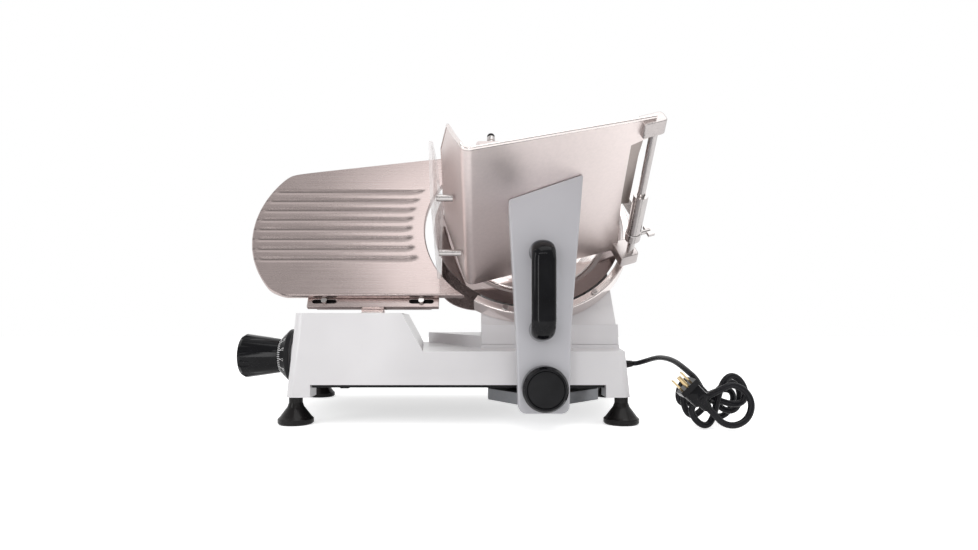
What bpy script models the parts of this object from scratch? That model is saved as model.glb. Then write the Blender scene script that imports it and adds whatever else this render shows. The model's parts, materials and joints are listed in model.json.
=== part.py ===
"""Electric meat slicer with a leaning 250 mm blade, as separate solid pieces.

Sizes are in millimetres in the bench frame: X to the right, Y to the back,
Z up from the table, with X = Y = 0 in the middle of the four feet.  The blade
frame leans back from it: x to the right, y up the blade (u), z towards the
tray (w).
"""
import math

import bmesh
import bpy
from mathutils import Matrix, Vector

MM = 0.001
GAP = 0.3

# Blade, its lean and its centre in the bench frame
BLADE_LEAN = 30.0
BLADE_CENTRE = (87.9, 5.0, 243.5)
BLADE_RADIUS = 125.0
BLADE_BEVEL_WIDTH = 18.0
BLADE_THICKNESS = 3.0
BLADE_DISH = 4.0
BLADE_BORE = 16.0
COVER_RADIUS = 100.0
COVER_DOME = 5.0

# Ring guard round the blade
RING_INNER = 128.0
RING_OUTER = 138.0
RING_BACK = -22.0
RING_FRONT = 1.0
RING_START_ANGLE = -121.0
RING_END_ANGLE = 125.0
RING_BOLT_ANGLES = (-104.0, -53.0)
RING_BOLT_HEAD = 4.0
RING_BOLT_SHANK = 2.2

# Blade drive, behind the blade
SHAFT_RADIUS = 12.0
SHAFT_FLANGE = 31.0
SHAFT_BACK = -72.0
TIE_ROD_RADIUS = 4.0
PULLEY_RADIUS = 50.0
PULLEY_WIDTH = 11.0
MOTOR_PULLEY_RADIUS = 12.0
MOTOR_DROP = 100.0
MOTOR_RADIUS = 42.0
MOTOR_LENGTH = 84.0
MOTOR_SHAFT_RADIUS = 5.0
BELT_THICKNESS = 3.0
BELT_WIDTH = 8.0
BEARING_OUTER = 24.0
BEARING_FRONT = -39.0
BEARING_BACK = -68.0

# Base casting: plan is a trapezoid, longer at the back
BASE_NEAR_Y = -136.0
BASE_FAR_Y = 136.0
BASE_NEAR_HALF = 190.5
BASE_FAR_HALF = 229.0
BASE_BOTTOM = 45.5
BASE_DECK = 82.8
BASE_PLATFORM = 98.0
TOWER_SEAT = 87.0
BASE_TOP = 125.6
BASE_DRAFT = 0.109
BASE_FACE_DRAFT = 0.02
BASE_WALL = 5.0
BASE_CORNER = 9.0
SLOPE_TOP_X = -62.3
SLOPE_FOOT_X = -39.0
SLOPE_SKEW = 0.09
PLATFORM_NEAR_Y = -56.0
PLATFORM_NEAR_X = 25.4
PLATFORM_FAR_X = -64.6
LEG_WIDTH = 24.0
LEG_BOTTOM = 31.5
BOTTOM_COVER_THICKNESS = 3.0

# Feet
FOOT_INSET = (5.5, 10.0)
FOOT_Y = (-120.0, 120.0)
FOOT_RIM_RADIUS = 20.0
FOOT_RIM_HEIGHT = 6.5
FOOT_NECK_RADIUS = 7.7

# Blade housing, standing on the platform
HOUSING_LEFT = 26.0
HOUSING_RIGHT = 197.0
HOUSING_TOP = 285.0
HOUSING_TOP_RIGHT = 188.0
HOUSING_PLINTH_TOP = 112.0
HOUSING_BACK = 120.0
HOUSING_WALL = 6.0
DRIVE_WALL_FRONT = -28.0
DRIVE_WALL_BACK = -36.0
RECESS_RADIUS = 118.0
BACK_COVER_HALF = 40.0
BACK_COVER_LOW = 132.0
BACK_COVER_HIGH = 246.0
BACK_COVER_THICKNESS = 3.0
COVER_KNOB_RADIUS = 17.0
COVER_KNOB_LENGTH = 22.0
COVER_KNOB_FRONT = -147.5

# Sharpener on top of the ring
SHARPENER_X = -22.0
SHARPENER_HALF = 48.0
SHARPENER_TOP = 166.5
SHARPENER_BOTTOM = 139.5
SHARPENER_FRONT = -3.0
SHARPENER_BACK = -50.0
SHARPENER_POST_RADIUS = 8.0
SHARPENER_POST_W = -42.0
SHARPENER_POST_LOW = 72.0
SHARPENER_SLEEVE_LOW = 108.0
STONE_RADIUS = 14.0
STONE_WIDTH = 8.0
STONE_OFFSET = 31.0
STONE_U = 122.0
STONE_FRONT = -32.0
BUTTON_RADIUS = 8.0
BUTTON_SHAFT = 3.0
BUTTON_TRAVEL = 6.0

# Gauge plate, in the blade plane, left of the blade
GAUGE_THICKNESS = 8.0
GAUGE_ARC_CENTRE = (-222.0, -2.0)
GAUGE_ARC_RADIUS = 146.0
GAUGE_TOP_LEFT_U = 92.5
GAUGE_TOP_MIDDLE = (-136.0, 121.6)
GAUGE_TOP_RIGHT = (-95.0, 125.0)
GAUGE_BOTTOM_U = -109.5
GAUGE_BLADE_GAP = 12.5
GAUGE_TRAVEL = 15.0
GROOVE_COUNT = 8
GROOVE_PITCH = 16.4
GROOVE_TOP_U = 60.7
GROOVE_DEPTH = 1.4
GROOVE_MARGIN = 17.0
GROOVE_END_RADIUS = 160.0
BRACKET_LEFT = -281.5
BRACKET_RIGHT = -115.5
BRACKET_THICKNESS = 6.0
BRACKET_LOW_U = -121.5
BRACKET_HIGH_U = -100.0
BRACKET_SLOT_U = -113.5
BRACKET_SLOT_LENGTH = 31.0
BRACKET_SLOT_RADIUS = 3.0
GAUGE_BOLT_X = (-260.0, -137.5)
GAUGE_BOLT_HEAD = 3.8
GAUGE_BOLT_SHANK = 2.5
POST_X = -111.6
POST_Y = -38.0
POST_RADIUS = 15.0
POST_TOP = 140.0
GAUGE_ROD_RADIUS = 7.0
GAUGE_ROD_Z = 60.0
GAUGE_ROD_Y = (-106.0, 84.0)

# Thickness knob and its spindle
KNOB_Y = -43.0
KNOB_Z = 72.5
KNOB_LENGTH = 48.9
DIAL_CONE_WIDTH = 13.2
KNOB_END_RADIUS = 27.5
KNOB_ROOT_RADIUS = 21.2
KNOB_FLUTES = 9
DIAL_RIM_RADIUS = 33.5
DIAL_CONE_RADIUS = 21.0
DIAL_RIM_WIDTH = 5.0
DIAL_STANDOFF = 7.3
KNOB_BOSS_RADIUS = 24.0
SPINDLE_RADIUS = 5.0
CAM_RADIUS = 25.0
CAM_RIGHT = -137.0
CAM_WIDTH = 5.0

# Carriage under the base
SLIDE_ROD_RADIUS = 7.0
SLIDE_ROD_Y = 50.0
CARRIAGE_EAR_Y = -86.0
CARRIAGE_STEM_HALF = 30.0
GUIDE_BAR_RADIUS = 5.0
GUIDE_BAR_Y = 98.0
RAIL_Z = 31.0
RAIL_LEFT = 18.5 - BASE_NEAR_HALF
RAIL_RIGHT = BASE_NEAR_HALF - 3.5
RAIL_BOSS_WIDTH = 12.0
FOOT_PLATE_THICKNESS = 13.0
CARRIAGE_LEFT = 34.0
CARRIAGE_RIGHT = 163.0
SLEEVE_RADIUS = 10.0
TONGUE_HALF = 15.0
HINGE_Y = -160.0
HINGE_Z = 30.0
HINGE_RADIUS = 7.5
HINGE_PIN_RADIUS = 4.0

# Carriage arm
ARM_FRONT = -173.0
ARM_THICKNESS = 22.0
ARM_BOTTOM = 19.2
ARM_BOTTOM_X = (64.8, 118.8)
ARM_WAIST_Z = 107.4
ARM_WAIST_X = (62.2, 120.4)
ARM_TOP_X = (51.6, 134.6)
ARM_TOP_Z = 290.0
LOCK_X = 91.8
LOCK_Z = 46.5
LOCK_RADIUS = 24.0
LOCK_DEPTH = 20.0
LOCK_STUD = 5.0
HANDLE_X = 88.0
HANDLE_LOW = 95.0
HANDLE_HIGH = 201.6
HANDLE_WIDTH = 24.8
HANDLE_REACH = 40.0
HANDLE_THICKNESS = 14.0

# Food tray, turned about the blade axis from the blade frame
TRAY_TURN = 16.4
TRAY_CORNER = (-80.0, -101.0, 8.0)
TRAY_LENGTH = 203.0
TRAY_DEPTH = 227.0
TRAY_SHEET = 3.0
TRAY_FOLD = 10.0
TRAY_WALL_HIGH = 112.0
TRAY_WALL_LOW = 60.6

# Clear finger guard at the tray's left end
GUARD_X = -112.4
GUARD_THICKNESS = 4.0
SPACER_RADIUS = 4.0

# Pusher on its rod, at the tray's right edge
ROD_LOW = (TRAY_LENGTH + 5.6, -19.2, 10.0)
ROD_HIGH = (TRAY_LENGTH - 1.0, 0.0, 185.0)
ROD_RADIUS = 4.5
ROD_START = -12.0
ROD_END = 205.0
PUSHER_TUBE_RADIUS = 8.5
PUSHER_TUBE = (43.0, 103.0)
COLLAR = (30.7, 42.7)
LOW_LUG = (-8.0, 8.0)
PUSHER_TRAVEL = 76.0
HIGH_LUG_WIDTH = 17.0
LUG_CLEARANCE = 10.0
PUSHER_ARM_WIDTH = 20.0
PUSHER_ARM_HEIGHT = 86.0
PUSHER_REACH = 130.0
PUSHER_PLATE_HALF = 48.0
PUSHER_PLATE_LOW = 22.0
TOOTH_COUNT = 12
TOOTH_DEPTH = 4.0

# Switch panel on the left end wall
PANEL_Y = 50.0
PANEL_Z = 72.0
PANEL_LENGTH = 70.0
PANEL_HEIGHT = 34.0
PANEL_THICKNESS = 4.0
SWITCH_RADIUS = 9.0
SWITCH_TRAVEL = 2.0

# Mains cord
CORD_RADIUS = 3.5
CORD_EXIT_Y = 62.0
CORD_EXIT_Z = 52.0
GLAND_LENGTH = 26.0
CORD_LEAD = ((259.0, 44.0, 60.0), (266.0, 8.0, 66.5), (270.0, -36.0, 66.0), (273.0, -76.0, 58.0))
HANK_TIE = (283.0, 38.0)
HANK_START_Y = -108.0
HANK_REACH = 33.0
HANK_HALF_WIDTH = 15.0
HANK_PITCH = 8.3
HANK_LOBES = 5.75
HANK_FIRST_ANGLE = -30.0
HANK_LAST_ANGLE = 42.0
HANK_TURN_CENTRE = (292.0, 34.0)
HANK_TURN_RADIUS = 21.0
HANK_TURN_END = -142.0
LOOP_POINT_COUNT = 24
BEND_POINT_COUNT = 18
SPAN_POINT_COUNT = 12
PLUG_LENGTH = 34.0
PRONG_LENGTH = 13.0


def set_up_scene():
    """Empty the file and make the two collections."""
    for item in list(bpy.data.objects):
        bpy.data.objects.remove(item, do_unlink=True)
    for name in ("meat_slicer", "cutters"):
        bpy.context.scene.collection.children.link(bpy.data.collections.new(name))


def material(name, colour, roughness, metallic):
    """A plain Principled BSDF material."""
    item = bpy.data.materials.new(name)
    item.use_nodes = True
    shader = item.node_tree.nodes["Principled BSDF"]
    shader.inputs["Base Color"].default_value = (*colour, 1.0)
    shader.inputs["Roughness"].default_value = roughness
    shader.inputs["Metallic"].default_value = metallic
    return item


def make_materials():
    """The slicer's materials, by short name."""
    return {
        "paint": material("white_paint", (0.78, 0.79, 0.80), 0.35, 0.0),
        "arm": material("grey_paint", (0.62, 0.64, 0.66), 0.35, 0.2),
        "aluminium": material("polished_aluminium", (0.72, 0.69, 0.67), 0.25, 1.0),
        "steel": material("ground_steel", (0.62, 0.61, 0.60), 0.2, 1.0),
        "black": material("black_plastic", (0.02, 0.02, 0.022), 0.2, 0.0),
        "rubber": material("black_rubber", (0.03, 0.03, 0.03), 0.6, 0.0),
        "clear": material("clear_plastic", (0.85, 0.87, 0.88), 0.05, 0.0),
        "stone": material("grey_stone", (0.35, 0.33, 0.31), 0.9, 0.0),
        "green": material("green_button", (0.02, 0.25, 0.06), 0.3, 0.0),
        "red": material("red_button", (0.45, 0.02, 0.02), 0.3, 0.0),
    }


def scaled(points):
    """Millimetre points as metre vectors."""
    return [Vector(point) * MM for point in points]


def frame_empty(name, parent, at=(0, 0, 0), turn=(0, 0, 0)):
    """An empty that carries pieces, placed in its parent's frame."""
    item = bpy.data.objects.new(name, None)
    bpy.data.collections["meat_slicer"].objects.link(item)
    item.parent = parent
    item.location = Vector(at) * MM
    item.rotation_euler = [math.radians(angle) for angle in turn]
    return item


def add_object(name, data, finish, parent, at=(0, 0, 0), turn=(0, 0, 0)):
    """Link an object for a piece and place it in its parent's frame."""
    item = bpy.data.objects.new(name, data)
    bpy.data.collections["meat_slicer"].objects.link(item)
    if finish is not None:
        data.materials.append(finish)
    item.parent = parent
    item.location = Vector(at) * MM
    item.rotation_euler = [math.radians(angle) for angle in turn]
    return item


def as_tool(item):
    """Move a shape to the cutters, hidden from the result."""
    bpy.data.collections["meat_slicer"].objects.unlink(item)
    bpy.data.collections["cutters"].objects.link(item)
    item.hide_render = True
    item.display_type = "WIRE"
    return item


def boolean(target, tool, operation):
    """Cut or join a shape with a hidden tool."""
    step = target.modifiers.new(tool.name, "BOOLEAN")
    step.operation = operation
    step.solver = "EXACT"
    step.object = as_tool(tool)
    return target


def cut(target, *tools):
    """Take each tool's shape away."""
    for tool in tools:
        boolean(target, tool, "DIFFERENCE")
    return target


def fuse(target, *tools):
    """Join each tool's shape on."""
    for tool in tools:
        boolean(target, tool, "UNION")
    return target


def edge_bevel(item, width, segments=2, angle=40.0):
    """Round the edges sharper than an angle."""
    step = item.modifiers.new("rounded_edges", "BEVEL")
    step.width = width * MM
    step.segments = segments
    step.limit_method = "ANGLE"
    step.angle_limit = math.radians(angle)
    return item


def box(name, finish, parent, low, high):
    """A box between two corners, in its parent's frame."""
    low = Vector(low)
    high = Vector(high)
    size = (high - low) * MM
    shape = bmesh.new()
    bmesh.ops.create_cube(shape, size=1.0)
    bmesh.ops.scale(shape, vec=size, verts=shape.verts)
    mesh = bpy.data.meshes.new(name)
    shape.to_mesh(mesh)
    shape.free()
    return add_object(name, mesh, finish, parent, (low + high) / 2)


AXIS_TURNS = {"X": (0, 90, 0), "Y": (-90, 0, 0), "Z": (0, 0, 0)}


def rod(name, finish, parent, start, length, radius, axis="Z", sides=24):
    """A solid cylinder from a start point along an axis of its parent."""
    shape = bmesh.new()
    bmesh.ops.create_cone(
        shape, cap_ends=True, segments=sides,
        radius1=radius * MM, radius2=radius * MM, depth=length * MM,
    )
    bmesh.ops.translate(shape, vec=(0, 0, length / 2 * MM), verts=shape.verts)
    mesh = bpy.data.meshes.new(name)
    shape.to_mesh(mesh)
    shape.free()
    item = add_object(name, mesh, finish, parent, start, AXIS_TURNS[axis])
    return smooth(item)


def smooth(item, angle=35.0):
    """Shade a round mesh smooth between its sharp edges."""
    item.data.shade_smooth()
    item.data.set_sharp_from_angle(angle=math.radians(angle))
    return item


def turned(name, finish, parent, profile, at=(0, 0, 0), axis="Z", steps=32):
    """A turned solid from (radius, height) points, running down its outer side.

    A profile that starts and ends on the axis makes a solid; any other
    profile is closed on itself and makes a ring.
    """
    mesh = bpy.data.meshes.new(name)
    points = scaled([(radius, 0, height) for radius, height in profile])
    edges = [(i, i + 1) for i in range(len(points) - 1)]
    if profile[0][0] > 0:
        edges.append((len(points) - 1, 0))
    mesh.from_pydata(points, edges, [])
    item = add_object(name, mesh, finish, parent, at, AXIS_TURNS[axis])
    step = item.modifiers.new("turn", "SCREW")
    step.steps = steps
    step.render_steps = steps
    step.use_merge_vertices = True
    step.merge_threshold = 0.00005
    step.use_smooth_shade = True
    return item


def plate(name, finish, parent, outlines, low, high, at=(0, 0, 0), turn=(0, 0, 0)):
    """A flat outline, with holes if any, as a solid between two heights."""
    shape = bmesh.new()
    if len(outlines) == 1:
        corners = [shape.verts.new(Vector((x, y, low)) * MM) for x, y in outlines[0]]
        sides = [shape.edges.new(pair) for pair in zip(corners, corners[1:] + corners[:1])]
        sheet = bmesh.ops.contextual_create(shape, geom=sides)["faces"]
        lifted = bmesh.ops.extrude_face_region(shape, geom=sheet, use_keep_orig=True)["geom"]
        top = [item for item in lifted if isinstance(item, bmesh.types.BMVert)]
        bmesh.ops.translate(shape, vec=(0, 0, (high - low) * MM), verts=top)
    else:
        pierced = pierced_mesh(name, outlines, high - low)
        shape.from_mesh(pierced)
        bpy.data.meshes.remove(pierced)
        bmesh.ops.remove_doubles(shape, verts=shape.verts, dist=0.00001)
        bmesh.ops.translate(shape, vec=(0, 0, (low + high) / 2 * MM), verts=shape.verts)
    bmesh.ops.recalc_face_normals(shape, faces=shape.faces)
    mesh = bpy.data.meshes.new(name)
    shape.to_mesh(mesh)
    shape.free()
    return add_object(name, mesh, finish, parent, at, turn)


def pierced_mesh(name, outlines, depth):
    """An outline with holes, as a filled curve of a depth turned into a mesh."""
    curve = bpy.data.curves.new(name, "CURVE")
    curve.dimensions = "2D"
    curve.fill_mode = "BOTH"
    curve.extrude = depth / 2 * MM
    for outline in outlines:
        spline = curve.splines.new("POLY")
        spline.points.add(len(outline) - 1)
        for point, (x, y) in zip(spline.points, outline):
            point.co = (x * MM, y * MM, 0, 1)
        spline.use_cyclic_u = True
    source = bpy.data.objects.new(name + "_outline", curve)
    bpy.context.scene.collection.objects.link(source)
    bpy.context.view_layer.update()
    seen = source.evaluated_get(bpy.context.evaluated_depsgraph_get())
    mesh = bpy.data.meshes.new_from_object(seen)
    bpy.data.objects.remove(source)
    bpy.data.curves.remove(curve)
    return mesh


def arc(centre, radius, start, end, count):
    """Points along an arc, with angles in degrees."""
    points = []
    for i in range(count + 1):
        angle = math.radians(start + (end - start) * i / count)
        points.append((centre[0] + radius * math.cos(angle), centre[1] + radius * math.sin(angle)))
    return points


def slot_outline(centre, length, radius, count=6):
    """A slot with round ends along x."""
    reach = length / 2 - radius
    right = arc((centre[0] + reach, centre[1]), radius, -90, 90, count)
    left = arc((centre[0] - reach, centre[1]), radius, 90, 270, count)
    return right + left


def circle_outline(centre, radius, count=16):
    """A closed circle of points."""
    return arc(centre, radius, 0, 360 - 360 / count, count - 1)


def rectangle(left, low, right, high):
    """A rectangle's corners, anticlockwise."""
    return [(left, low), (right, low), (right, high), (left, high)]


def tube(name, finish, parent, points, radius, resolution=2):
    """A round tube along points, with closed ends."""
    curve = bpy.data.curves.new(name, "CURVE")
    curve.dimensions = "3D"
    curve.bevel_depth = radius * MM
    curve.bevel_resolution = resolution
    curve.use_fill_caps = True
    spline = curve.splines.new("POLY")
    spline.points.add(len(points) - 1)
    for point, place in zip(spline.points, points):
        point.co = (*(Vector(place) * MM), 1)
    return add_object(name, curve, finish, parent)


def side_plate(name, finish, parent, outlines, near, far):
    """An (x, z) outline as a solid between two y places of its parent."""
    return plate(name, finish, parent, outlines, -far, -near, turn=(90, 0, 0))


def end_plate(name, finish, parent, outlines, left, right):
    """A (y, z) outline as a solid between two x places of its parent."""
    return plate(name, finish, parent, outlines, left, right, turn=(90, 0, 90))


def wall_plate(name, finish, parent, outlines, left, right):
    """A (z, y) outline as a solid between two x places of its parent."""
    return plate(name, finish, parent, outlines, -right, -left, turn=(0, -90, 0))


def base_half(y, z):
    """Half the base's length at a place on its end walls."""
    along = (y - BASE_NEAR_Y) / (BASE_FAR_Y - BASE_NEAR_Y)
    half = BASE_NEAR_HALF + (BASE_FAR_HALF - BASE_NEAR_HALF) * along
    return half - BASE_DRAFT * (z - BASE_BOTTOM)


def base_block(name, finish, parent, low, high, inset, corner=0.0):
    """The base's drafted outer form between two heights, inset by a wall."""
    shape = bmesh.new()
    bmesh.ops.create_cube(shape, size=2.0)
    for vert in shape.verts:
        z = high if vert.co.z > 0 else low
        lean = BASE_FACE_DRAFT * (z - BASE_BOTTOM) + inset
        y = BASE_FAR_Y - lean if vert.co.y > 0 else BASE_NEAR_Y + lean
        x = math.copysign(base_half(y, z) - inset, vert.co.x)
        vert.co = Vector((x, y, z)) * MM
    if corner > 0:
        upright = [edge for edge in shape.edges
                   if abs(edge.verts[0].co.z - edge.verts[1].co.z) > MM]
        bmesh.ops.bevel(shape, geom=upright, offset=corner * MM, segments=4,
                        profile=0.5, affect="EDGES")
    mesh = bpy.data.meshes.new(name)
    shape.to_mesh(mesh)
    shape.free()
    return add_object(name, mesh, finish, parent)


def dial_places():
    """Where the dial's rim ends, where its cone ends and where the knob ends, going left."""
    rim = -base_half(KNOB_Y, KNOB_Z) - DIAL_STANDOFF
    cone = rim - DIAL_RIM_WIDTH
    root = cone - DIAL_CONE_WIDTH
    return rim, cone, root, root - KNOB_LENGTH


def slope_x(z):
    """Where the slope between the high part and the deck is, at a height."""
    share = (BASE_TOP - z) / (BASE_TOP - BASE_DECK)
    return SLOPE_TOP_X + (SLOPE_FOOT_X - SLOPE_TOP_X) * share


def skewed(item, slant):
    """Shift a side plate to the left in proportion to how far behind the base's front it is."""
    for vert in item.data.vertices:
        vert.co.x -= slant * (-vert.co.z - BASE_NEAR_Y * MM)
    return item


def cross_outline(inset, reach, spread):
    """A cross between the four legs, inset from them."""
    leg = LEG_WIDTH + 2 + inset
    near = BASE_NEAR_Y + leg
    far = BASE_FAR_Y - leg
    near_x = base_half(BASE_NEAR_Y, BASE_BOTTOM) - leg
    far_x = base_half(BASE_FAR_Y, BASE_BOTTOM) - leg
    right = [
        (near_x, BASE_NEAR_Y - reach), (near_x, near),
        (base_half(near, BASE_BOTTOM) + spread, near),
        (base_half(far, BASE_BOTTOM) + spread, far),
        (far_x, far), (far_x, BASE_FAR_Y + reach),
    ]
    return right + [(-x, y) for x, y in reversed(right)]


def make_base(bench, look):
    """The hollow base casting with its high part, slope, deck and platform."""
    base = base_block("base_casting", look["paint"], bench, LEG_BOTTOM, BASE_TOP, 0, BASE_CORNER)
    boss_end = dial_places()[0] + GAP
    slant = (BASE_FAR_HALF - BASE_NEAR_HALF) / (BASE_FAR_Y - BASE_NEAR_Y)
    boss_root = DIAL_STANDOFF - GAP + KNOB_BOSS_RADIUS * slant + 0.7 * BASE_WALL
    boss = rod("knob_boss", None, bench, (boss_end, KNOB_Y, KNOB_Z), boss_root, KNOB_BOSS_RADIUS, "X", 32)
    fuse(base, boss)
    above = BASE_TOP + 5
    past = BASE_FAR_HALF + 40
    upper = side_plate("upper_cut", None, bench, [[
        (SLOPE_FOOT_X, BASE_DECK), (past, BASE_DECK), (past, above), (slope_x(above), above),
    ]], BASE_NEAR_Y - 10, BASE_FAR_Y + 10)
    skewed(upper, SLOPE_SKEW)
    platform = plate("platform_kept", None, bench, [[
        (PLATFORM_NEAR_X, PLATFORM_NEAR_Y), (past + 10, PLATFORM_NEAR_Y),
        (past + 10, BASE_FAR_Y + 20), (PLATFORM_FAR_X, BASE_FAR_Y + 20),
    ]], BASE_DECK - 5, BASE_PLATFORM)
    cut(upper, platform)
    under = plate("under_cut", None, bench, [cross_outline(0, 20, 20)], LEG_BOTTOM - 5, BASE_BOTTOM)
    hollow = base_block("low_hollow", None, bench, BASE_BOTTOM - 1, BASE_DECK - BASE_WALL, BASE_WALL)
    high_hollow = base_block("high_hollow", None, bench, BASE_DECK - 2 * BASE_WALL,
                             BASE_TOP - BASE_WALL, BASE_WALL)
    low_edge = BASE_DECK - 4 * BASE_WALL
    high_keep = side_plate("high_keep", None, bench, [[
        (-BASE_FAR_HALF - 20, low_edge), (slope_x(low_edge) - 1.2 * BASE_WALL, low_edge),
        (slope_x(above) - 1.2 * BASE_WALL, above), (-BASE_FAR_HALF - 20, above),
    ]], BASE_NEAR_Y - 10, BASE_FAR_Y + 10)
    skewed(high_keep, SLOPE_SKEW)
    boolean(high_hollow, high_keep, "INTERSECT")
    motor_room = MOTOR_RADIUS + 4
    motor_hole = box("motor_hole", None, bench,
                     (BLADE_CENTRE[0] - motor_room, -42, BASE_BOTTOM + 10),
                     (BLADE_CENTRE[0] + motor_room, 92, BASE_PLATFORM + 5))
    reach = POST_RADIUS + 1
    post_slot = box("post_slot", None, bench,
                    (POST_X - reach, POST_Y - reach, BASE_TOP - 3 * BASE_WALL),
                    (POST_X + reach, POST_Y + GAUGE_TRAVEL + reach, above))
    seat = box("tower_seat", None, bench, (HOUSING_LEFT - GAP, PLATFORM_NEAR_Y - 7, TOWER_SEAT),
               (past + 20, HOUSING_BACK + GAP, above))
    cut(base, upper, seat, under, hollow, high_hollow, motor_hole, post_slot)
    bore = rod("spindle_bore", None, bench, (boss_end - 5, KNOB_Y, KNOB_Z), 40,
               SPINDLE_RADIUS + GAP, "X")
    gland = rod("gland_bore", None, wall_frame("gland_bore_wall", bench, 1, CORD_EXIT_Y, CORD_EXIT_Z),
                (0, 0, -20), 40, 6 + GAP)
    cut(base, bore, gland)
    return base


def wall_frame(name, parent, side, y, z):
    """An empty on an end wall of the base, its z axis pointing out."""
    item = frame_empty(name, parent, (side * base_half(y, z), y, z))
    spread = (BASE_FAR_HALF - BASE_NEAR_HALF) / (BASE_FAR_Y - BASE_NEAR_Y)
    outward = Vector((side, -spread, BASE_DRAFT))
    item.rotation_euler = outward.to_track_quat("Z", "Y").to_euler()
    return item


def make_bottom_cover(bench, look):
    """The plate under the base, with the rails' bosses and the gauge rod's lugs."""
    top = BASE_BOTTOM - GAP
    low = top - BOTTOM_COVER_THICKNESS
    cover = plate("bottom_cover", look["steel"], bench, [cross_outline(1, -4, -4)], low, top)
    lift = SLEEVE_RADIUS
    for y, radius in ((SLIDE_ROD_Y, SLIDE_ROD_RADIUS), (GUIDE_BAR_Y, GUIDE_BAR_RADIUS)):
        for x in (RAIL_LEFT, RAIL_RIGHT - RAIL_BOSS_WIDTH):
            boss = box("rail_boss", None, bench, (x, y - lift, RAIL_Z - lift),
                       (x + RAIL_BOSS_WIDTH, y + lift, low + 1))
            fuse(cover, boss)
        bore = rod("rail_bore", None, bench, (RAIL_LEFT + 3, y, RAIL_Z),
                   RAIL_RIGHT - RAIL_LEFT - 6, radius + GAP, "X")
        cut(cover, bore)
    for y in (GAUGE_ROD_Y[0], GAUGE_ROD_Y[1] - RAIL_BOSS_WIDTH):
        lug = box("gauge_lug", None, bench, (POST_X - 12, y, top - 1),
                  (POST_X + 12, y + RAIL_BOSS_WIDTH, GAUGE_ROD_Z + 10))
        fuse(cover, lug)
    bore = rod("gauge_bore", None, bench, (POST_X, GAUGE_ROD_Y[0] + 3, GAUGE_ROD_Z),
               GAUGE_ROD_Y[1] - GAUGE_ROD_Y[0] - 6, GAUGE_ROD_RADIUS + GAP, "Y")
    return cut(cover, bore)


def make_feet(bench, look):
    """Four rubber feet under the legs."""
    top = LEG_BOTTOM - GAP
    profile = [(0, top), (FOOT_NECK_RADIUS, top), (FOOT_NECK_RADIUS, 24), (9, 20),
               (FOOT_RIM_RADIUS, FOOT_RIM_HEIGHT), (FOOT_RIM_RADIUS, 1), (FOOT_RIM_RADIUS - 1, 0), (0, 0)]
    halves = (BASE_NEAR_HALF, BASE_FAR_HALF)
    for row, half, inset, y in zip(("front", "back"), halves, FOOT_INSET, FOOT_Y):
        x = half - inset
        for side, sign in (("left", -1), ("right", 1)):
            turned(f"foot_{row}_{side}", look["rubber"], bench, profile, (sign * x, y, 0), steps=24)


def blade_plane_y(z, w):
    """Where a plane parallel to the blade is at a height, in the bench frame."""
    lean = math.radians(BLADE_LEAN)
    u = (z - BLADE_CENTRE[2] - w * math.sin(lean)) / math.cos(lean)
    return BLADE_CENTRE[1] + u * math.sin(lean) - w * math.cos(lean)


def ring_bolt_places():
    """The ring bolts' places in the blade frame."""
    radius = (RING_INNER + RING_OUTER) / 2
    return [(radius * math.cos(math.radians(a)), radius * math.sin(math.radians(a)))
            for a in RING_BOLT_ANGLES]


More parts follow.
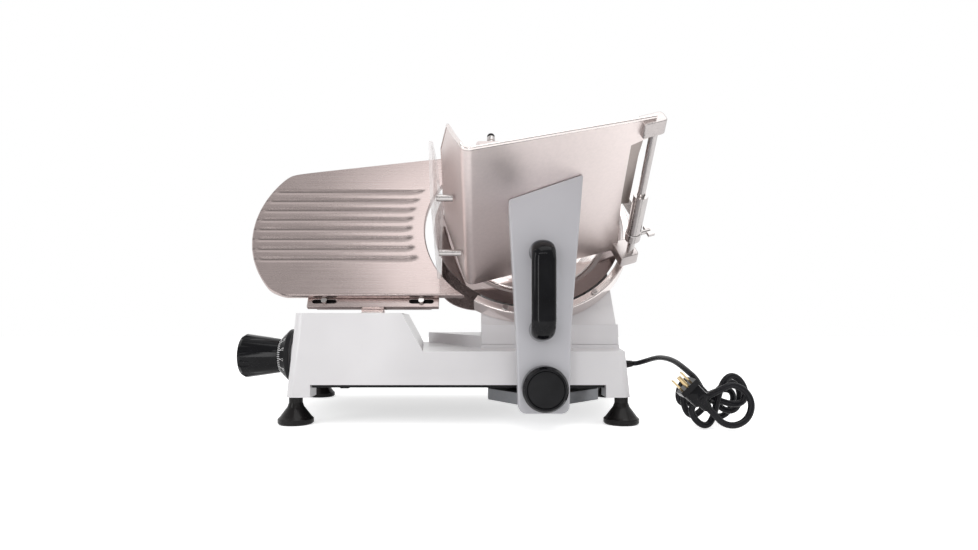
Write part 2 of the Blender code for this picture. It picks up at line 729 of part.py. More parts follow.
def make_housing(bench, blade, look):
    """The blade housing: a leaning front, a recess for the drive, an open inside."""
    floor = TOWER_SEAT + GAP
    face = RING_BACK - GAP
    outline = [
        (PLATFORM_NEAR_Y, floor), (HOUSING_BACK, floor), (HOUSING_BACK, HOUSING_TOP),
        (blade_plane_y(HOUSING_TOP, face), HOUSING_TOP),
        (blade_plane_y(HOUSING_PLINTH_TOP, face), HOUSING_PLINTH_TOP),
        (PLATFORM_NEAR_Y, HOUSING_PLINTH_TOP),
    ]
    housing = end_plate("blade_housing", look["paint"], bench, [outline], HOUSING_LEFT, HOUSING_RIGHT)
    above = HOUSING_TOP + 5
    taper = side_plate("housing_taper", None, bench, [[
        (HOUSING_RIGHT, floor), (HOUSING_RIGHT + 40, floor), (HOUSING_RIGHT + 40, above),
        (HOUSING_TOP_RIGHT, above),
    ]], BASE_NEAR_Y, BASE_FAR_Y)
    ceiling = HOUSING_TOP - HOUSING_WALL
    inner_back = HOUSING_BACK - HOUSING_WALL
    room = end_plate("housing_room", None, bench, [[
        (blade_plane_y(floor - 2, DRIVE_WALL_BACK), floor - 2), (inner_back, floor - 2),
        (inner_back, ceiling), (blade_plane_y(ceiling, DRIVE_WALL_BACK), ceiling),
    ]], HOUSING_LEFT + HOUSING_WALL, HOUSING_TOP_RIGHT - HOUSING_WALL)
    window = box("back_window", None, bench,
                 (BLADE_CENTRE[0] - BACK_COVER_HALF + 5, inner_back - 5, BACK_COVER_LOW + 5),
                 (BLADE_CENTRE[0] + BACK_COVER_HALF - 5, HOUSING_BACK + 5, BACK_COVER_HIGH - 5))
    cut(housing, taper, room, window)
    bore_back = BEARING_BACK - 2
    boss = rod("bearing_boss", None, blade, (0, 0, bore_back), DRIVE_WALL_BACK + 2 - bore_back,
               BEARING_OUTER + 6, sides=32)
    fuse(housing, boss)
    recess = rod("drive_recess", None, blade, (0, 0, DRIVE_WALL_FRONT), 20, RECESS_RADIUS, sides=64)
    shaft_hole = rod("shaft_hole", None, blade, (0, 0, bore_back - 5), 60, SHAFT_RADIUS + 1)
    bearing_hole = rod("bearing_hole", None, blade, (0, 0, bore_back - 5),
                       BEARING_FRONT + GAP - bore_back + 5, BEARING_OUTER + GAP, sides=32)
    motor_hole = rod("motor_shaft_hole", None, blade, (0, -MOTOR_DROP, DRIVE_WALL_BACK - 5), 20,
                     MOTOR_SHAFT_RADIUS + 1)
    cut(housing, recess, shaft_hole, bearing_hole, motor_hole)
    for x, u in ring_bolt_places():
        cut(housing, rod("bolt_hole", None, blade, (x, u, face - 9), 20, RING_BOLT_SHANK + GAP, sides=12))
    return housing


def make_back_cover(bench, look):
    """The plate over the housing's back window, with the tie rod's hole."""
    near = HOUSING_BACK + GAP
    lean = math.radians(BLADE_LEAN)
    along = (near - BLADE_CENTRE[1]) / math.cos(lean)
    hole = circle_outline((BLADE_CENTRE[0], BLADE_CENTRE[2] - along * math.sin(lean)),
                          TIE_ROD_RADIUS + 4)
    edge = rectangle(BLADE_CENTRE[0] - BACK_COVER_HALF, BACK_COVER_LOW,
                     BLADE_CENTRE[0] + BACK_COVER_HALF, BACK_COVER_HIGH)
    return side_plate("housing_back_cover", look["paint"], bench, [edge, hole], near,
                      near + BACK_COVER_THICKNESS)


def make_blade(blade, look):
    """The blade, its cover disc, shaft, bearings and pulley."""
    bevel = BLADE_RADIUS - BLADE_BEVEL_WIDTH
    back = -BLADE_DISH - BLADE_THICKNESS
    turned("slicing_blade", look["steel"], blade, [
        (BLADE_BORE, -BLADE_DISH), (COVER_RADIUS + 2, -BLADE_DISH), (bevel, -BLADE_DISH / 2),
        (BLADE_RADIUS, 0), (BLADE_RADIUS, -0.6), (bevel + 8, back), (SHAFT_FLANGE + 2, back),
        (SHAFT_FLANGE, back - BLADE_THICKNESS), (BLADE_BORE, back - BLADE_THICKNESS),
    ], steps=72)
    cover_back = -BLADE_DISH + GAP
    turned("blade_cover_disc", look["aluminium"], blade, [
        (0, cover_back + COVER_DOME), (COVER_RADIUS * 0.6, cover_back + COVER_DOME * 0.85),
        (COVER_RADIUS * 0.9, cover_back + COVER_DOME * 0.5), (COVER_RADIUS, cover_back + 1),
        (COVER_RADIUS, cover_back), (8, cover_back), (8, cover_back - 1), (0, cover_back - 1),
    ], steps=64)
    nose = cover_back - 1 - GAP
    flange = back - BLADE_THICKNESS - GAP
    pulley = flange - BLADE_THICKNESS - GAP
    hollow = TIE_ROD_RADIUS + GAP
    turned("blade_shaft", look["steel"], blade, [
        (hollow, nose), (BLADE_BORE - GAP, nose), (BLADE_BORE - GAP, flange), (SHAFT_FLANGE, flange),
        (SHAFT_FLANGE, flange - BLADE_THICKNESS), (SHAFT_RADIUS, flange - BLADE_THICKNESS),
        (SHAFT_RADIUS, SHAFT_BACK), (hollow, SHAFT_BACK),
    ])
    turned("blade_pulley", look["aluminium"], blade, [
        (SHAFT_RADIUS + GAP, pulley), (PULLEY_RADIUS, pulley), (PULLEY_RADIUS, pulley - PULLEY_WIDTH),
        (SHAFT_RADIUS + GAP, pulley - PULLEY_WIDTH),
    ], steps=48)
    turned("shaft_bearing", look["steel"], blade, [
        (SHAFT_RADIUS + GAP, BEARING_FRONT), (BEARING_OUTER, BEARING_FRONT),
        (BEARING_OUTER, BEARING_BACK), (SHAFT_RADIUS + GAP, BEARING_BACK),
    ], steps=24)
    turned("cover_knob", look["black"], blade, [
        (0, nose), (TIE_ROD_RADIUS, nose), (TIE_ROD_RADIUS, COVER_KNOB_FRONT),
        (COVER_KNOB_RADIUS, COVER_KNOB_FRONT), (COVER_KNOB_RADIUS, COVER_KNOB_FRONT - COVER_KNOB_LENGTH + 3),
        (COVER_KNOB_RADIUS - 4, COVER_KNOB_FRONT - COVER_KNOB_LENGTH),
        (0, COVER_KNOB_FRONT - COVER_KNOB_LENGTH),
    ], steps=24)
    return pulley


def belt_outline(radius):
    """The outline round both pulleys at a distance from their faces."""
    large = PULLEY_RADIUS + radius
    small = MOTOR_PULLEY_RADIUS + radius
    lean = math.degrees(math.asin((large - small) / MOTOR_DROP))
    upper = arc((0, 0), large, -lean, 180 + lean, 24)
    lower = arc((0, -MOTOR_DROP), small, 180 + lean, 360 - lean, 10)
    return upper + lower


def make_drive(blade, look, pulley):
    """The motor, its pulley and the belt."""
    middle = pulley - PULLEY_WIDTH / 2
    plate("drive_belt", look["rubber"], blade,
          [belt_outline(GAP + BELT_THICKNESS), belt_outline(GAP)],
          middle - BELT_WIDTH / 2, middle + BELT_WIDTH / 2)
    motor_front = DRIVE_WALL_BACK - GAP
    turned("motor", look["steel"], blade, [
        (0, motor_front), (MOTOR_RADIUS, motor_front), (MOTOR_RADIUS, motor_front - MOTOR_LENGTH + 6),
        (MOTOR_RADIUS - 6, motor_front - MOTOR_LENGTH), (0, motor_front - MOTOR_LENGTH),
    ], (0, -MOTOR_DROP, 0))
    turned("motor_pulley", look["steel"], blade, [
        (0, pulley), (MOTOR_PULLEY_RADIUS, pulley), (MOTOR_PULLEY_RADIUS, pulley - PULLEY_WIDTH),
        (MOTOR_SHAFT_RADIUS, pulley - PULLEY_WIDTH), (MOTOR_SHAFT_RADIUS, DRIVE_WALL_BACK),
        (0, DRIVE_WALL_BACK),
    ], (0, -MOTOR_DROP, 0), steps=20)


def make_ring(blade, look):
    """The ring guard, open where the gauge plate is, and its two bolts."""
    count = 60
    outer = arc((0, 0), RING_OUTER, RING_START_ANGLE, RING_END_ANGLE, count)
    inner = arc((0, 0), RING_INNER, RING_END_ANGLE, RING_START_ANGLE, count)
    holes = [circle_outline(place, RING_BOLT_SHANK + GAP, 10) for place in ring_bolt_places()]
    plate("ring_guard", look["aluminium"], blade, [outer + inner] + holes, RING_BACK, RING_FRONT)
    head = RING_FRONT + GAP
    for side, (x, u) in zip(("left", "right"), ring_bolt_places()):
        turned(f"ring_bolt_{side}", look["steel"], blade, [
            (0, head + 3), (RING_BOLT_HEAD, head + 3), (RING_BOLT_HEAD, head), (RING_BOLT_SHANK, head),
            (RING_BOLT_SHANK, RING_BACK - 8), (0, RING_BACK - 8),
        ], (x, u, 0), steps=12)


def make_deflector(blade, look):
    """The curved sheet behind the blade that turns each slice down."""
    wall = HOUSING_LEFT - BLADE_CENTRE[0] - GAP
    reach = 52.0
    start = RING_BACK - 5
    outer = arc((wall, start), reach + 1, 180, 270, 12)
    inner = arc((wall, start), reach - 1, 270, 180, 12)
    return side_plate("slice_deflector", look["steel"], blade, [outer + inner], -85, 50)


def make_sharpener(bench, blade, look):
    """The sharpener over the ring: its post, cover, two stones and their buttons."""
    centre = BLADE_CENTRE[0] + SHARPENER_X
    foot_top = HOUSING_TOP + 12
    mount = box("sharpener_mount", look["aluminium"], bench, (centre - 14, 60, HOUSING_TOP + GAP),
                (centre + 14, 96, foot_top))
    post = rod("sharpener_post", None, blade, (SHARPENER_X, SHARPENER_POST_LOW + 6, SHARPENER_POST_W),
               SHARPENER_TOP - 4 - SHARPENER_POST_LOW - 6, SHARPENER_POST_RADIUS, "Y")
    fuse(mount, post)
    cover = box("sharpener_cover", look["aluminium"], blade,
                (SHARPENER_X - SHARPENER_HALF, SHARPENER_BOTTOM, SHARPENER_BACK),
                (SHARPENER_X + SHARPENER_HALF, SHARPENER_TOP, SHARPENER_FRONT))
    edge_bevel(cover, 6, 3)
    sleeve = box("sharpener_sleeve", None, blade,
                 (SHARPENER_X - 14, SHARPENER_SLEEVE_LOW, SHARPENER_POST_W - 14),
                 (SHARPENER_X + 14, SHARPENER_BOTTOM + 6, SHARPENER_POST_W + 12))
    web = box("sharpener_web", None, blade,
              (SHARPENER_X - SHARPENER_HALF + 4, SHARPENER_SLEEVE_LOW - 2, SHARPENER_BACK - 6),
              (SHARPENER_X + SHARPENER_HALF - 4, SHARPENER_BOTTOM + 5, SHARPENER_BACK))
    web_root = box("sharpener_web_root", None, blade,
                   (SHARPENER_X - SHARPENER_HALF + 8, SHARPENER_BOTTOM + 1, SHARPENER_BACK - 3),
                   (SHARPENER_X + SHARPENER_HALF - 8, SHARPENER_BOTTOM + 9, SHARPENER_BACK + 8))
    fuse(cover, sleeve, web, web_root)
    bore = rod("sharpener_bore", None, blade, (SHARPENER_X, SHARPENER_POST_LOW, SHARPENER_POST_W),
               SHARPENER_TOP - 3.5 - SHARPENER_POST_LOW, SHARPENER_POST_RADIUS + GAP, "Y")
    cut(cover, bore)
    web_back = SHARPENER_BACK - 6
    button_front = web_back - BUTTON_TRAVEL - GAP
    stone_back = STONE_FRONT - STONE_WIDTH
    for side, name in ((-1, "grinding"), (1, "truing")):
        x = SHARPENER_X + side * STONE_OFFSET
        bore = rod("button_bore", None, blade, (x, STONE_U, web_back - 5), 20, BUTTON_SHAFT + GAP, sides=16)
        cut(cover, bore)
        collar = BUTTON_SHAFT + 2
        turned(f"{name}_button", look["black"], blade, [
            (0, STONE_FRONT + GAP + 2), (collar, STONE_FRONT + GAP + 2), (collar, STONE_FRONT + GAP),
            (BUTTON_SHAFT, STONE_FRONT + GAP), (BUTTON_SHAFT, stone_back - GAP), (collar, stone_back - GAP),
            (collar, stone_back - GAP - 2), (BUTTON_SHAFT, stone_back - GAP - 2),
            (BUTTON_SHAFT, button_front), (BUTTON_RADIUS, button_front),
            (BUTTON_RADIUS, button_front - 10), (0, button_front - 10),
        ], (x, STONE_U, 0), steps=16)
        turned(f"{name}_stone", look["stone"], blade, [
            (BUTTON_SHAFT + GAP, STONE_FRONT), (STONE_RADIUS, STONE_FRONT), (STONE_RADIUS, stone_back),
            (BUTTON_SHAFT + GAP, stone_back),
        ], (x, STONE_U, 0), steps=24)
    pin_low = SHARPENER_TOP + GAP
    turned("sharpener_pin", look["black"], blade, [
        (0, pin_low + 17), (5, pin_low + 17), (6.2, pin_low + 16), (6.2, pin_low + 9), (5, pin_low + 9),
        (5, pin_low), (0, pin_low),
    ], (SHARPENER_X - 25, 0, SHARPENER_FRONT - 9), "Y", steps=20)


def gauge_plate_outline():
    """The gauge plate: a round left end, a rising top and a hollow right edge."""
    cu = GAUGE_ARC_CENTRE[1]
    top = math.degrees(math.asin((GAUGE_TOP_LEFT_U - cu) / GAUGE_ARC_RADIUS))
    low = math.degrees(math.asin((GAUGE_BOTTOM_U + 6 - cu) / GAUGE_ARC_RADIUS))
    left = arc(GAUGE_ARC_CENTRE, GAUGE_ARC_RADIUS, 180 - top, 180 - low, 20)
    inner = BLADE_RADIUS + GAUGE_BLADE_GAP
    tail = math.degrees(math.asin(GAUGE_BOTTOM_U / inner))
    rise = math.degrees(math.acos(GAUGE_TOP_RIGHT[0] / inner))
    right = arc((0, 0), inner, 180 - tail, rise, 24)
    foot = (left[-1][0] + 10, GAUGE_BOTTOM_U)
    return [GAUGE_TOP_MIDDLE] + left + [foot] + right + [GAUGE_TOP_RIGHT]


def make_gauge_plate(blade, look):
    """The grooved plate that the food rests on beside the blade."""
    gauge = plate("gauge_plate", look["aluminium"], blade, [gauge_plate_outline()], -GAUGE_THICKNESS, 0)
    edge_bevel(gauge, 1.2, 1, 60)
    cx, cu = GAUGE_ARC_CENTRE
    reach = GAUGE_ARC_RADIUS - GROOVE_MARGIN
    shape = bmesh.new()
    for i in range(GROOVE_COUNT):
        u = GROOVE_TOP_U - i * GROOVE_PITCH
        left = cx - math.sqrt(reach ** 2 - (u - cu) ** 2)
        right = -math.sqrt(GROOVE_END_RADIUS ** 2 - u ** 2)
        turn = Matrix.Translation(Vector(((left + right) / 2, u, 0)) * MM)
        bmesh.ops.create_cube(shape, size=1.0, matrix=turn @ Matrix.Rotation(math.radians(45), 4, "X")
                              @ Matrix.Diagonal((MM * (right - left), MM * GROOVE_DEPTH * 1.8,
                                                 MM * GROOVE_DEPTH * 1.8, 1)))
    mesh = bpy.data.meshes.new("grooves")
    shape.to_mesh(mesh)
    shape.free()
    return cut(gauge, add_object("grooves", mesh, None, blade))


def make_gauge_mount(bench, blade, look):
    """The bracket, bolts and post that carry the gauge plate, and the rod below."""
    back = -GAUGE_THICKNESS - GAP
    low = back - BRACKET_THICKNESS
    edge = rectangle(BRACKET_LEFT, BRACKET_LOW_U, BRACKET_RIGHT, BRACKET_HIGH_U)
    slots = [slot_outline((x, BRACKET_SLOT_U), BRACKET_SLOT_LENGTH, BRACKET_SLOT_RADIUS)
             for x in GAUGE_BOLT_X]
    plate("gauge_bracket", look["aluminium"], blade, [edge] + slots, low, back)
    bar_front = low - GAP
    post = rod("gauge_post", look["aluminium"], bench, (POST_X, POST_Y, GAUGE_ROD_Z),
               POST_TOP - GAUGE_ROD_Z, POST_RADIUS, sides=32)
    bar = box("post_bar", None, blade, (GAUGE_BOLT_X[0] - 12, BRACKET_LOW_U + 4, bar_front - 8),
              (GAUGE_BOLT_X[1] + 12, BRACKET_HIGH_U, bar_front))
    block = box("post_block", None, bench, (POST_X - 18, POST_Y - 22, GAUGE_ROD_Z - 12),
                (POST_X + 18, POST_Y + 22, GAUGE_ROD_Z + 16))
    fuse(post, bar, block)
    trim = box("post_trim", None, blade, (BRACKET_LEFT - 20, BRACKET_LOW_U - 16, bar_front),
               (BRACKET_RIGHT + 20, BRACKET_HIGH_U + 60, 40))
    bore = rod("post_bore", None, bench, (POST_X, POST_Y - 40, GAUGE_ROD_Z), 80,
               GAUGE_ROD_RADIUS + GAP, "Y")
    cut(post, trim, bore)
    head = back + GAP
    for side, x in zip(("left", "right"), GAUGE_BOLT_X):
        cut(post, rod("bolt_bore", None, blade, (x, BRACKET_SLOT_U, bar_front - 6), 20,
                      GAUGE_BOLT_SHANK + GAP, sides=12))
        turned(f"gauge_bolt_{side}", look["steel"], blade, [
            (0, head + 3.5), (GAUGE_BOLT_HEAD, head + 3.5), (GAUGE_BOLT_HEAD, head),
            (GAUGE_BOLT_SHANK, head), (GAUGE_BOLT_SHANK, bar_front - 5.5), (0, bar_front - 5.5),
        ], (x, BRACKET_SLOT_U, 0), steps=12)
    rod("gauge_slide_rod", look["steel"], bench, (POST_X, GAUGE_ROD_Y[0] + 4, GAUGE_ROD_Z),
        GAUGE_ROD_Y[1] - GAUGE_ROD_Y[0] - 8, GAUGE_ROD_RADIUS, "Y")


def make_knob(bench, look):
    """The thickness knob, its dial and the spindle with its cam disc."""
    at = (0, KNOB_Y, KNOB_Z)
    rim, cone, root, end = dial_places()
    turned("thickness_dial", look["black"], bench, [
        (SPINDLE_RADIUS + GAP, rim), (DIAL_RIM_RADIUS, rim), (DIAL_RIM_RADIUS, cone),
        (DIAL_CONE_RADIUS, root + GAP), (SPINDLE_RADIUS + GAP, root + GAP),
    ], at, "X", steps=40)
    knob = turned("thickness_knob", look["black"], bench, [
        (0, root), (KNOB_ROOT_RADIUS, root),
        (KNOB_END_RADIUS, end + 6), (KNOB_END_RADIUS - 2.5, end + 1.6),
        (KNOB_END_RADIUS * 0.55, end), (0, end),
    ], at, "X", steps=40)
    shape = bmesh.new()
    middle = (root + end) / 2
    for i in range(KNOB_FLUTES):
        turn = Matrix.Rotation(2 * math.pi * (i + 0.23) / KNOB_FLUTES, 4, "Z")
        shift = Matrix.Translation(Vector((KNOB_END_RADIUS + 3, 0, middle - 2)) * MM)
        bmesh.ops.create_cone(shape, cap_ends=True, segments=12, radius1=6 * MM, radius2=6 * MM,
                              depth=KNOB_LENGTH * MM, matrix=turn @ shift)
    mesh = bpy.data.meshes.new("knob_flutes")
    shape.to_mesh(mesh)
    shape.free()
    cut(knob, add_object("knob_flutes", mesh, None, bench, at, AXIS_TURNS["X"]))
    turned("index_spindle", look["steel"], bench, [
        (0, CAM_RIGHT), (CAM_RADIUS, CAM_RIGHT), (CAM_RADIUS, CAM_RIGHT - CAM_WIDTH),
        (SPINDLE_RADIUS, CAM_RIGHT - CAM_WIDTH), (SPINDLE_RADIUS, root + GAP + 1), (0, root + GAP + 1),
    ], at, "X")


def make_carriage(bench, look):
    """The rails under the base and the carriage foot that slides on them."""
    rod("carriage_slide_rod", look["steel"], bench, (RAIL_LEFT + 4, SLIDE_ROD_Y, RAIL_Z),
        RAIL_RIGHT - RAIL_LEFT - 8, SLIDE_ROD_RADIUS, "X")
    rod("carriage_guide_bar", look["steel"], bench, (RAIL_LEFT + 4, GUIDE_BAR_Y, RAIL_Z),
        RAIL_RIGHT - RAIL_LEFT - 8, GUIDE_BAR_RADIUS, "X")
    middle = (ARM_BOTTOM_X[0] + ARM_BOTTOM_X[1]) / 2
    half = (ARM_BOTTOM_X[1] - ARM_BOTTOM_X[0]) / 2
    low = RAIL_Z - FOOT_PLATE_THICKNESS / 2
    high = RAIL_Z + FOOT_PLATE_THICKNESS / 2
    wide = ARM_FRONT + ARM_THICKNESS + 10
    stem = CARRIAGE_STEM_HALF
    outline = [
        (CARRIAGE_LEFT, CARRIAGE_EAR_Y - 12), (CARRIAGE_LEFT, CARRIAGE_EAR_Y + 12),
        (middle - stem, CARRIAGE_EAR_Y + 26), (middle - stem, SLIDE_ROD_Y - 26),
        (CARRIAGE_LEFT, SLIDE_ROD_Y - 12), (CARRIAGE_LEFT, SLIDE_ROD_Y + 12), (middle - 20, SLIDE_ROD_Y + 26),
        (middle - 20, GUIDE_BAR_Y + 10), (middle + 20, GUIDE_BAR_Y + 10), (middle + 20, SLIDE_ROD_Y + 26),
        (CARRIAGE_RIGHT, SLIDE_ROD_Y + 12), (CARRIAGE_RIGHT, SLIDE_ROD_Y - 12),
        (middle + stem, SLIDE_ROD_Y - 26), (middle + stem, CARRIAGE_EAR_Y + 26),
        (CARRIAGE_RIGHT, CARRIAGE_EAR_Y + 12), (CARRIAGE_RIGHT, CARRIAGE_EAR_Y - 12), (middle + half, wide),
        (middle + TONGUE_HALF, wide), (middle + TONGUE_HALF, HINGE_Y), (middle - TONGUE_HALF, HINGE_Y),
        (middle - TONGUE_HALF, wide), (middle - half, wide),
    ]
    foot = plate("carriage_foot", look["aluminium"], bench, [outline], low, high)
    sleeve = rod("foot_sleeve", None, bench, (CARRIAGE_LEFT, SLIDE_ROD_Y, RAIL_Z),
                 CARRIAGE_RIGHT - CARRIAGE_LEFT, SLEEVE_RADIUS, "X")
    shoe = rod("foot_shoe", None, bench, (middle - 20, GUIDE_BAR_Y, RAIL_Z), 40, GUIDE_BAR_RADIUS + 4, "X")
    barrel = rod("foot_barrel", None, bench, (middle - TONGUE_HALF, HINGE_Y, HINGE_Z), 2 * TONGUE_HALF,
                 HINGE_RADIUS, "X")
    pin = rod("foot_pin", None, bench, (middle - TONGUE_HALF - 9, HINGE_Y, HINGE_Z),
              2 * TONGUE_HALF + 18, HINGE_PIN_RADIUS, "X")
    lug_near = ARM_FRONT + ARM_THICKNESS + GAP
    lug = box("foot_lug", None, bench, (LOCK_X - 12, lug_near, high - 4),
              (LOCK_X + 12, lug_near + 9.5, LOCK_Z + 10))
    fuse(foot, sleeve, shoe, barrel, pin, lug)
    rod_bore = rod("foot_rod_bore", None, bench, (CARRIAGE_LEFT - 5, SLIDE_ROD_Y, RAIL_Z),
                   CARRIAGE_RIGHT - CARRIAGE_LEFT + 10, SLIDE_ROD_RADIUS + GAP, "X")
    bar_bore = rod("foot_bar_bore", None, bench, (middle - 25, GUIDE_BAR_Y, RAIL_Z), 50,
                   GUIDE_BAR_RADIUS + GAP, "X")
    cut(foot, rod_bore, bar_bore)


def make_arm(bench, tray, look):
    """The arm that carries the tray, its pull handle and its lock knob."""
    back = ARM_FRONT + ARM_THICKNESS
    left, right = ARM_BOTTOM_X
    corner = 8.0
    outline = (
        arc((left + corner, ARM_BOTTOM + corner), corner, 180, 270, 4)
        + arc((right - corner, ARM_BOTTOM + corner), corner, 270, 360, 4)
        + [(ARM_WAIST_X[1], ARM_WAIST_Z), (ARM_TOP_X[1], ARM_TOP_Z), (ARM_TOP_X[0], ARM_TOP_Z),
           (ARM_WAIST_X[0], ARM_WAIST_Z)]
    )
    arm = side_plate("carriage_arm", look["arm"], bench, [outline], ARM_FRONT, back)
    above = box("arm_top_cut", None, tray, (-60, -GAP, 60), (260, 120, 330))
    middle = (left + right) / 2
    notch = box("arm_notch", None, bench,
                (middle - TONGUE_HALF - GAP * 2, HINGE_Y - HINGE_RADIUS - 0.8, ARM_BOTTOM - 5),
                (middle + TONGUE_HALF + GAP * 2, back + 5, HINGE_Z + HINGE_RADIUS + 1.5))
    pin_bore = rod("arm_pin_bore", None, bench, (middle - TONGUE_HALF - 10, HINGE_Y, HINGE_Z),
                   2 * TONGUE_HALF + 20, HINGE_PIN_RADIUS + GAP, "X")
    stud_bore = rod("arm_stud_bore", None, bench, (LOCK_X, ARM_FRONT - 5, LOCK_Z), ARM_THICKNESS + 10,
                    LOCK_STUD + GAP, "Y")
    cut(arm, above, notch, pin_bore, stud_bore)
    face = ARM_FRONT - GAP
    turned("lock_knob", look["black"], bench, [
        (0, back - GAP), (LOCK_STUD, back - GAP), (LOCK_STUD, face), (LOCK_RADIUS - 2, face),
        (LOCK_RADIUS, face - 3), (LOCK_RADIUS, face - LOCK_DEPTH + 3), (LOCK_RADIUS - 2, face - LOCK_DEPTH),
        (LOCK_RADIUS - 4.5, face - LOCK_DEPTH), (LOCK_RADIUS - 5.5, face - LOCK_DEPTH + 2),
        (0, face - LOCK_DEPTH + 2),
    ], (LOCK_X, 0, LOCK_Z), "Y", steps=36)
    outer = face - HANDLE_REACH
    inner = outer + HANDLE_THICKNESS
    loop = [
        (face, HANDLE_LOW), (face, HANDLE_LOW + 16), (inner, HANDLE_LOW + 24), (inner, HANDLE_HIGH - 24),
        (face, HANDLE_HIGH - 16), (face, HANDLE_HIGH), (outer, HANDLE_HIGH - 12), (outer, HANDLE_LOW + 12),
    ]
    half = HANDLE_WIDTH / 2
    handle = end_plate("arm_handle", look["black"], bench, [loop], HANDLE_X - half - 1, HANDLE_X + half + 1)
    ends = (arc((HANDLE_X, HANDLE_HIGH - half), half, 0, 180, 8)
            + arc((HANDLE_X, HANDLE_LOW + half), half, 180, 360, 8))
    boolean(handle, side_plate("handle_ends", None, bench, [ends], outer - 5, face + 5), "INTERSECT")


def make_tray(tray, rail, look):
    """The food tray: floor, end wall, folded corner and the rod's two lugs."""
    wall = TRAY_SHEET
    fold = (
        arc((TRAY_FOLD, TRAY_FOLD), TRAY_FOLD, 270, 180, 6)
        + [(0, TRAY_WALL_HIGH + 5), (wall, TRAY_WALL_HIGH + 5)]
        + arc((TRAY_FOLD, TRAY_FOLD), TRAY_FOLD - wall, 180, 270, 6)
        + [(TRAY_LENGTH + 5, wall), (TRAY_LENGTH + 5, 0)]
    )
    sheet = plate("food_tray", look["aluminium"], tray, [fold], 0, TRAY_DEPTH + 3)
    length = TRAY_LENGTH
    depth = TRAY_DEPTH
    beyond = side_plate("tray_edge_cut", None, tray, [[
        (length, -5), (length - 17, 104), (length - 24.5, 186), (length - 5, 192), (length - 4, depth - 10),
        (-10, depth), (-10, depth + 40), (length + 60, depth + 40), (length + 60, -5),
    ]], -20, 30)
    top = wall_plate("tray_wall_cut", None, tray, [[
        (-5, TRAY_WALL_HIGH), (98, TRAY_WALL_HIGH - 11), (141, TRAY_WALL_HIGH - 15),
        (depth - 22.5, TRAY_WALL_LOW), (depth + 0.8, -3), (depth + 10, -3),
        (depth + 10, TRAY_WALL_HIGH + 20), (-5, TRAY_WALL_HIGH + 20),
    ]], -20, 20)
    cut(sheet, beyond, top)
    flange = side_plate("side_flange", None, tray, [[
        (length - 34, 96), (length - 4.6, 90), (length - 9, 140), (length - 11.5, 168), (length - 11.5, 191),
        (length - 7.5, 193), (length - 7.5, 200), (length - 34, 200),
    ]], 0.7, 2.3)
    rise = -ROD_LOW[1]
    low_lug = box("low_lug", None, rail, (-15, -9, LOW_LUG[0]), (9, rise + 2, LOW_LUG[1]))
    high_start = PUSHER_TUBE[1] + PUSHER_TRAVEL + LUG_CLEARANCE
    high_lug = box("high_lug", None, rail, (-16, -8, high_start), (9, 8, high_start + HIGH_LUG_WIDTH))
    fuse(sheet, flange, low_lug, high_lug)
    bore = rod("rail_rod_bore", None, rail, (0, 0, ROD_START - 10), ROD_END - ROD_START + 40,
               ROD_RADIUS + GAP)
    return cut(sheet, bore)


def make_guard(blade, look):
    """The clear guard outside the tray's end wall, on two spacers."""
    wall_plate("finger_guard", look["clear"], blade, [[
        (14, -98), (150, -86), (180, -62), (197, -47), (190, -40), (128, -8), (14, 6),
    ]], GUARD_X - GUARD_THICKNESS, GUARD_X)
    turn = math.radians(TRAY_TURN)
    for place, (w, u) in (("high", (125, -60)), ("low", (60, -88))):
        wall_x = TRAY_CORNER[0] - (u - SPACER_RADIUS - TRAY_CORNER[1]) * math.tan(turn)
        start = GUARD_X + GAP
        end = wall_x - 2 * SPACER_RADIUS * math.tan(turn) - GAP
        rod(f"guard_spacer_{place}", look["aluminium"], blade, (start, u, w), end - start,
            SPACER_RADIUS, "X", 16)


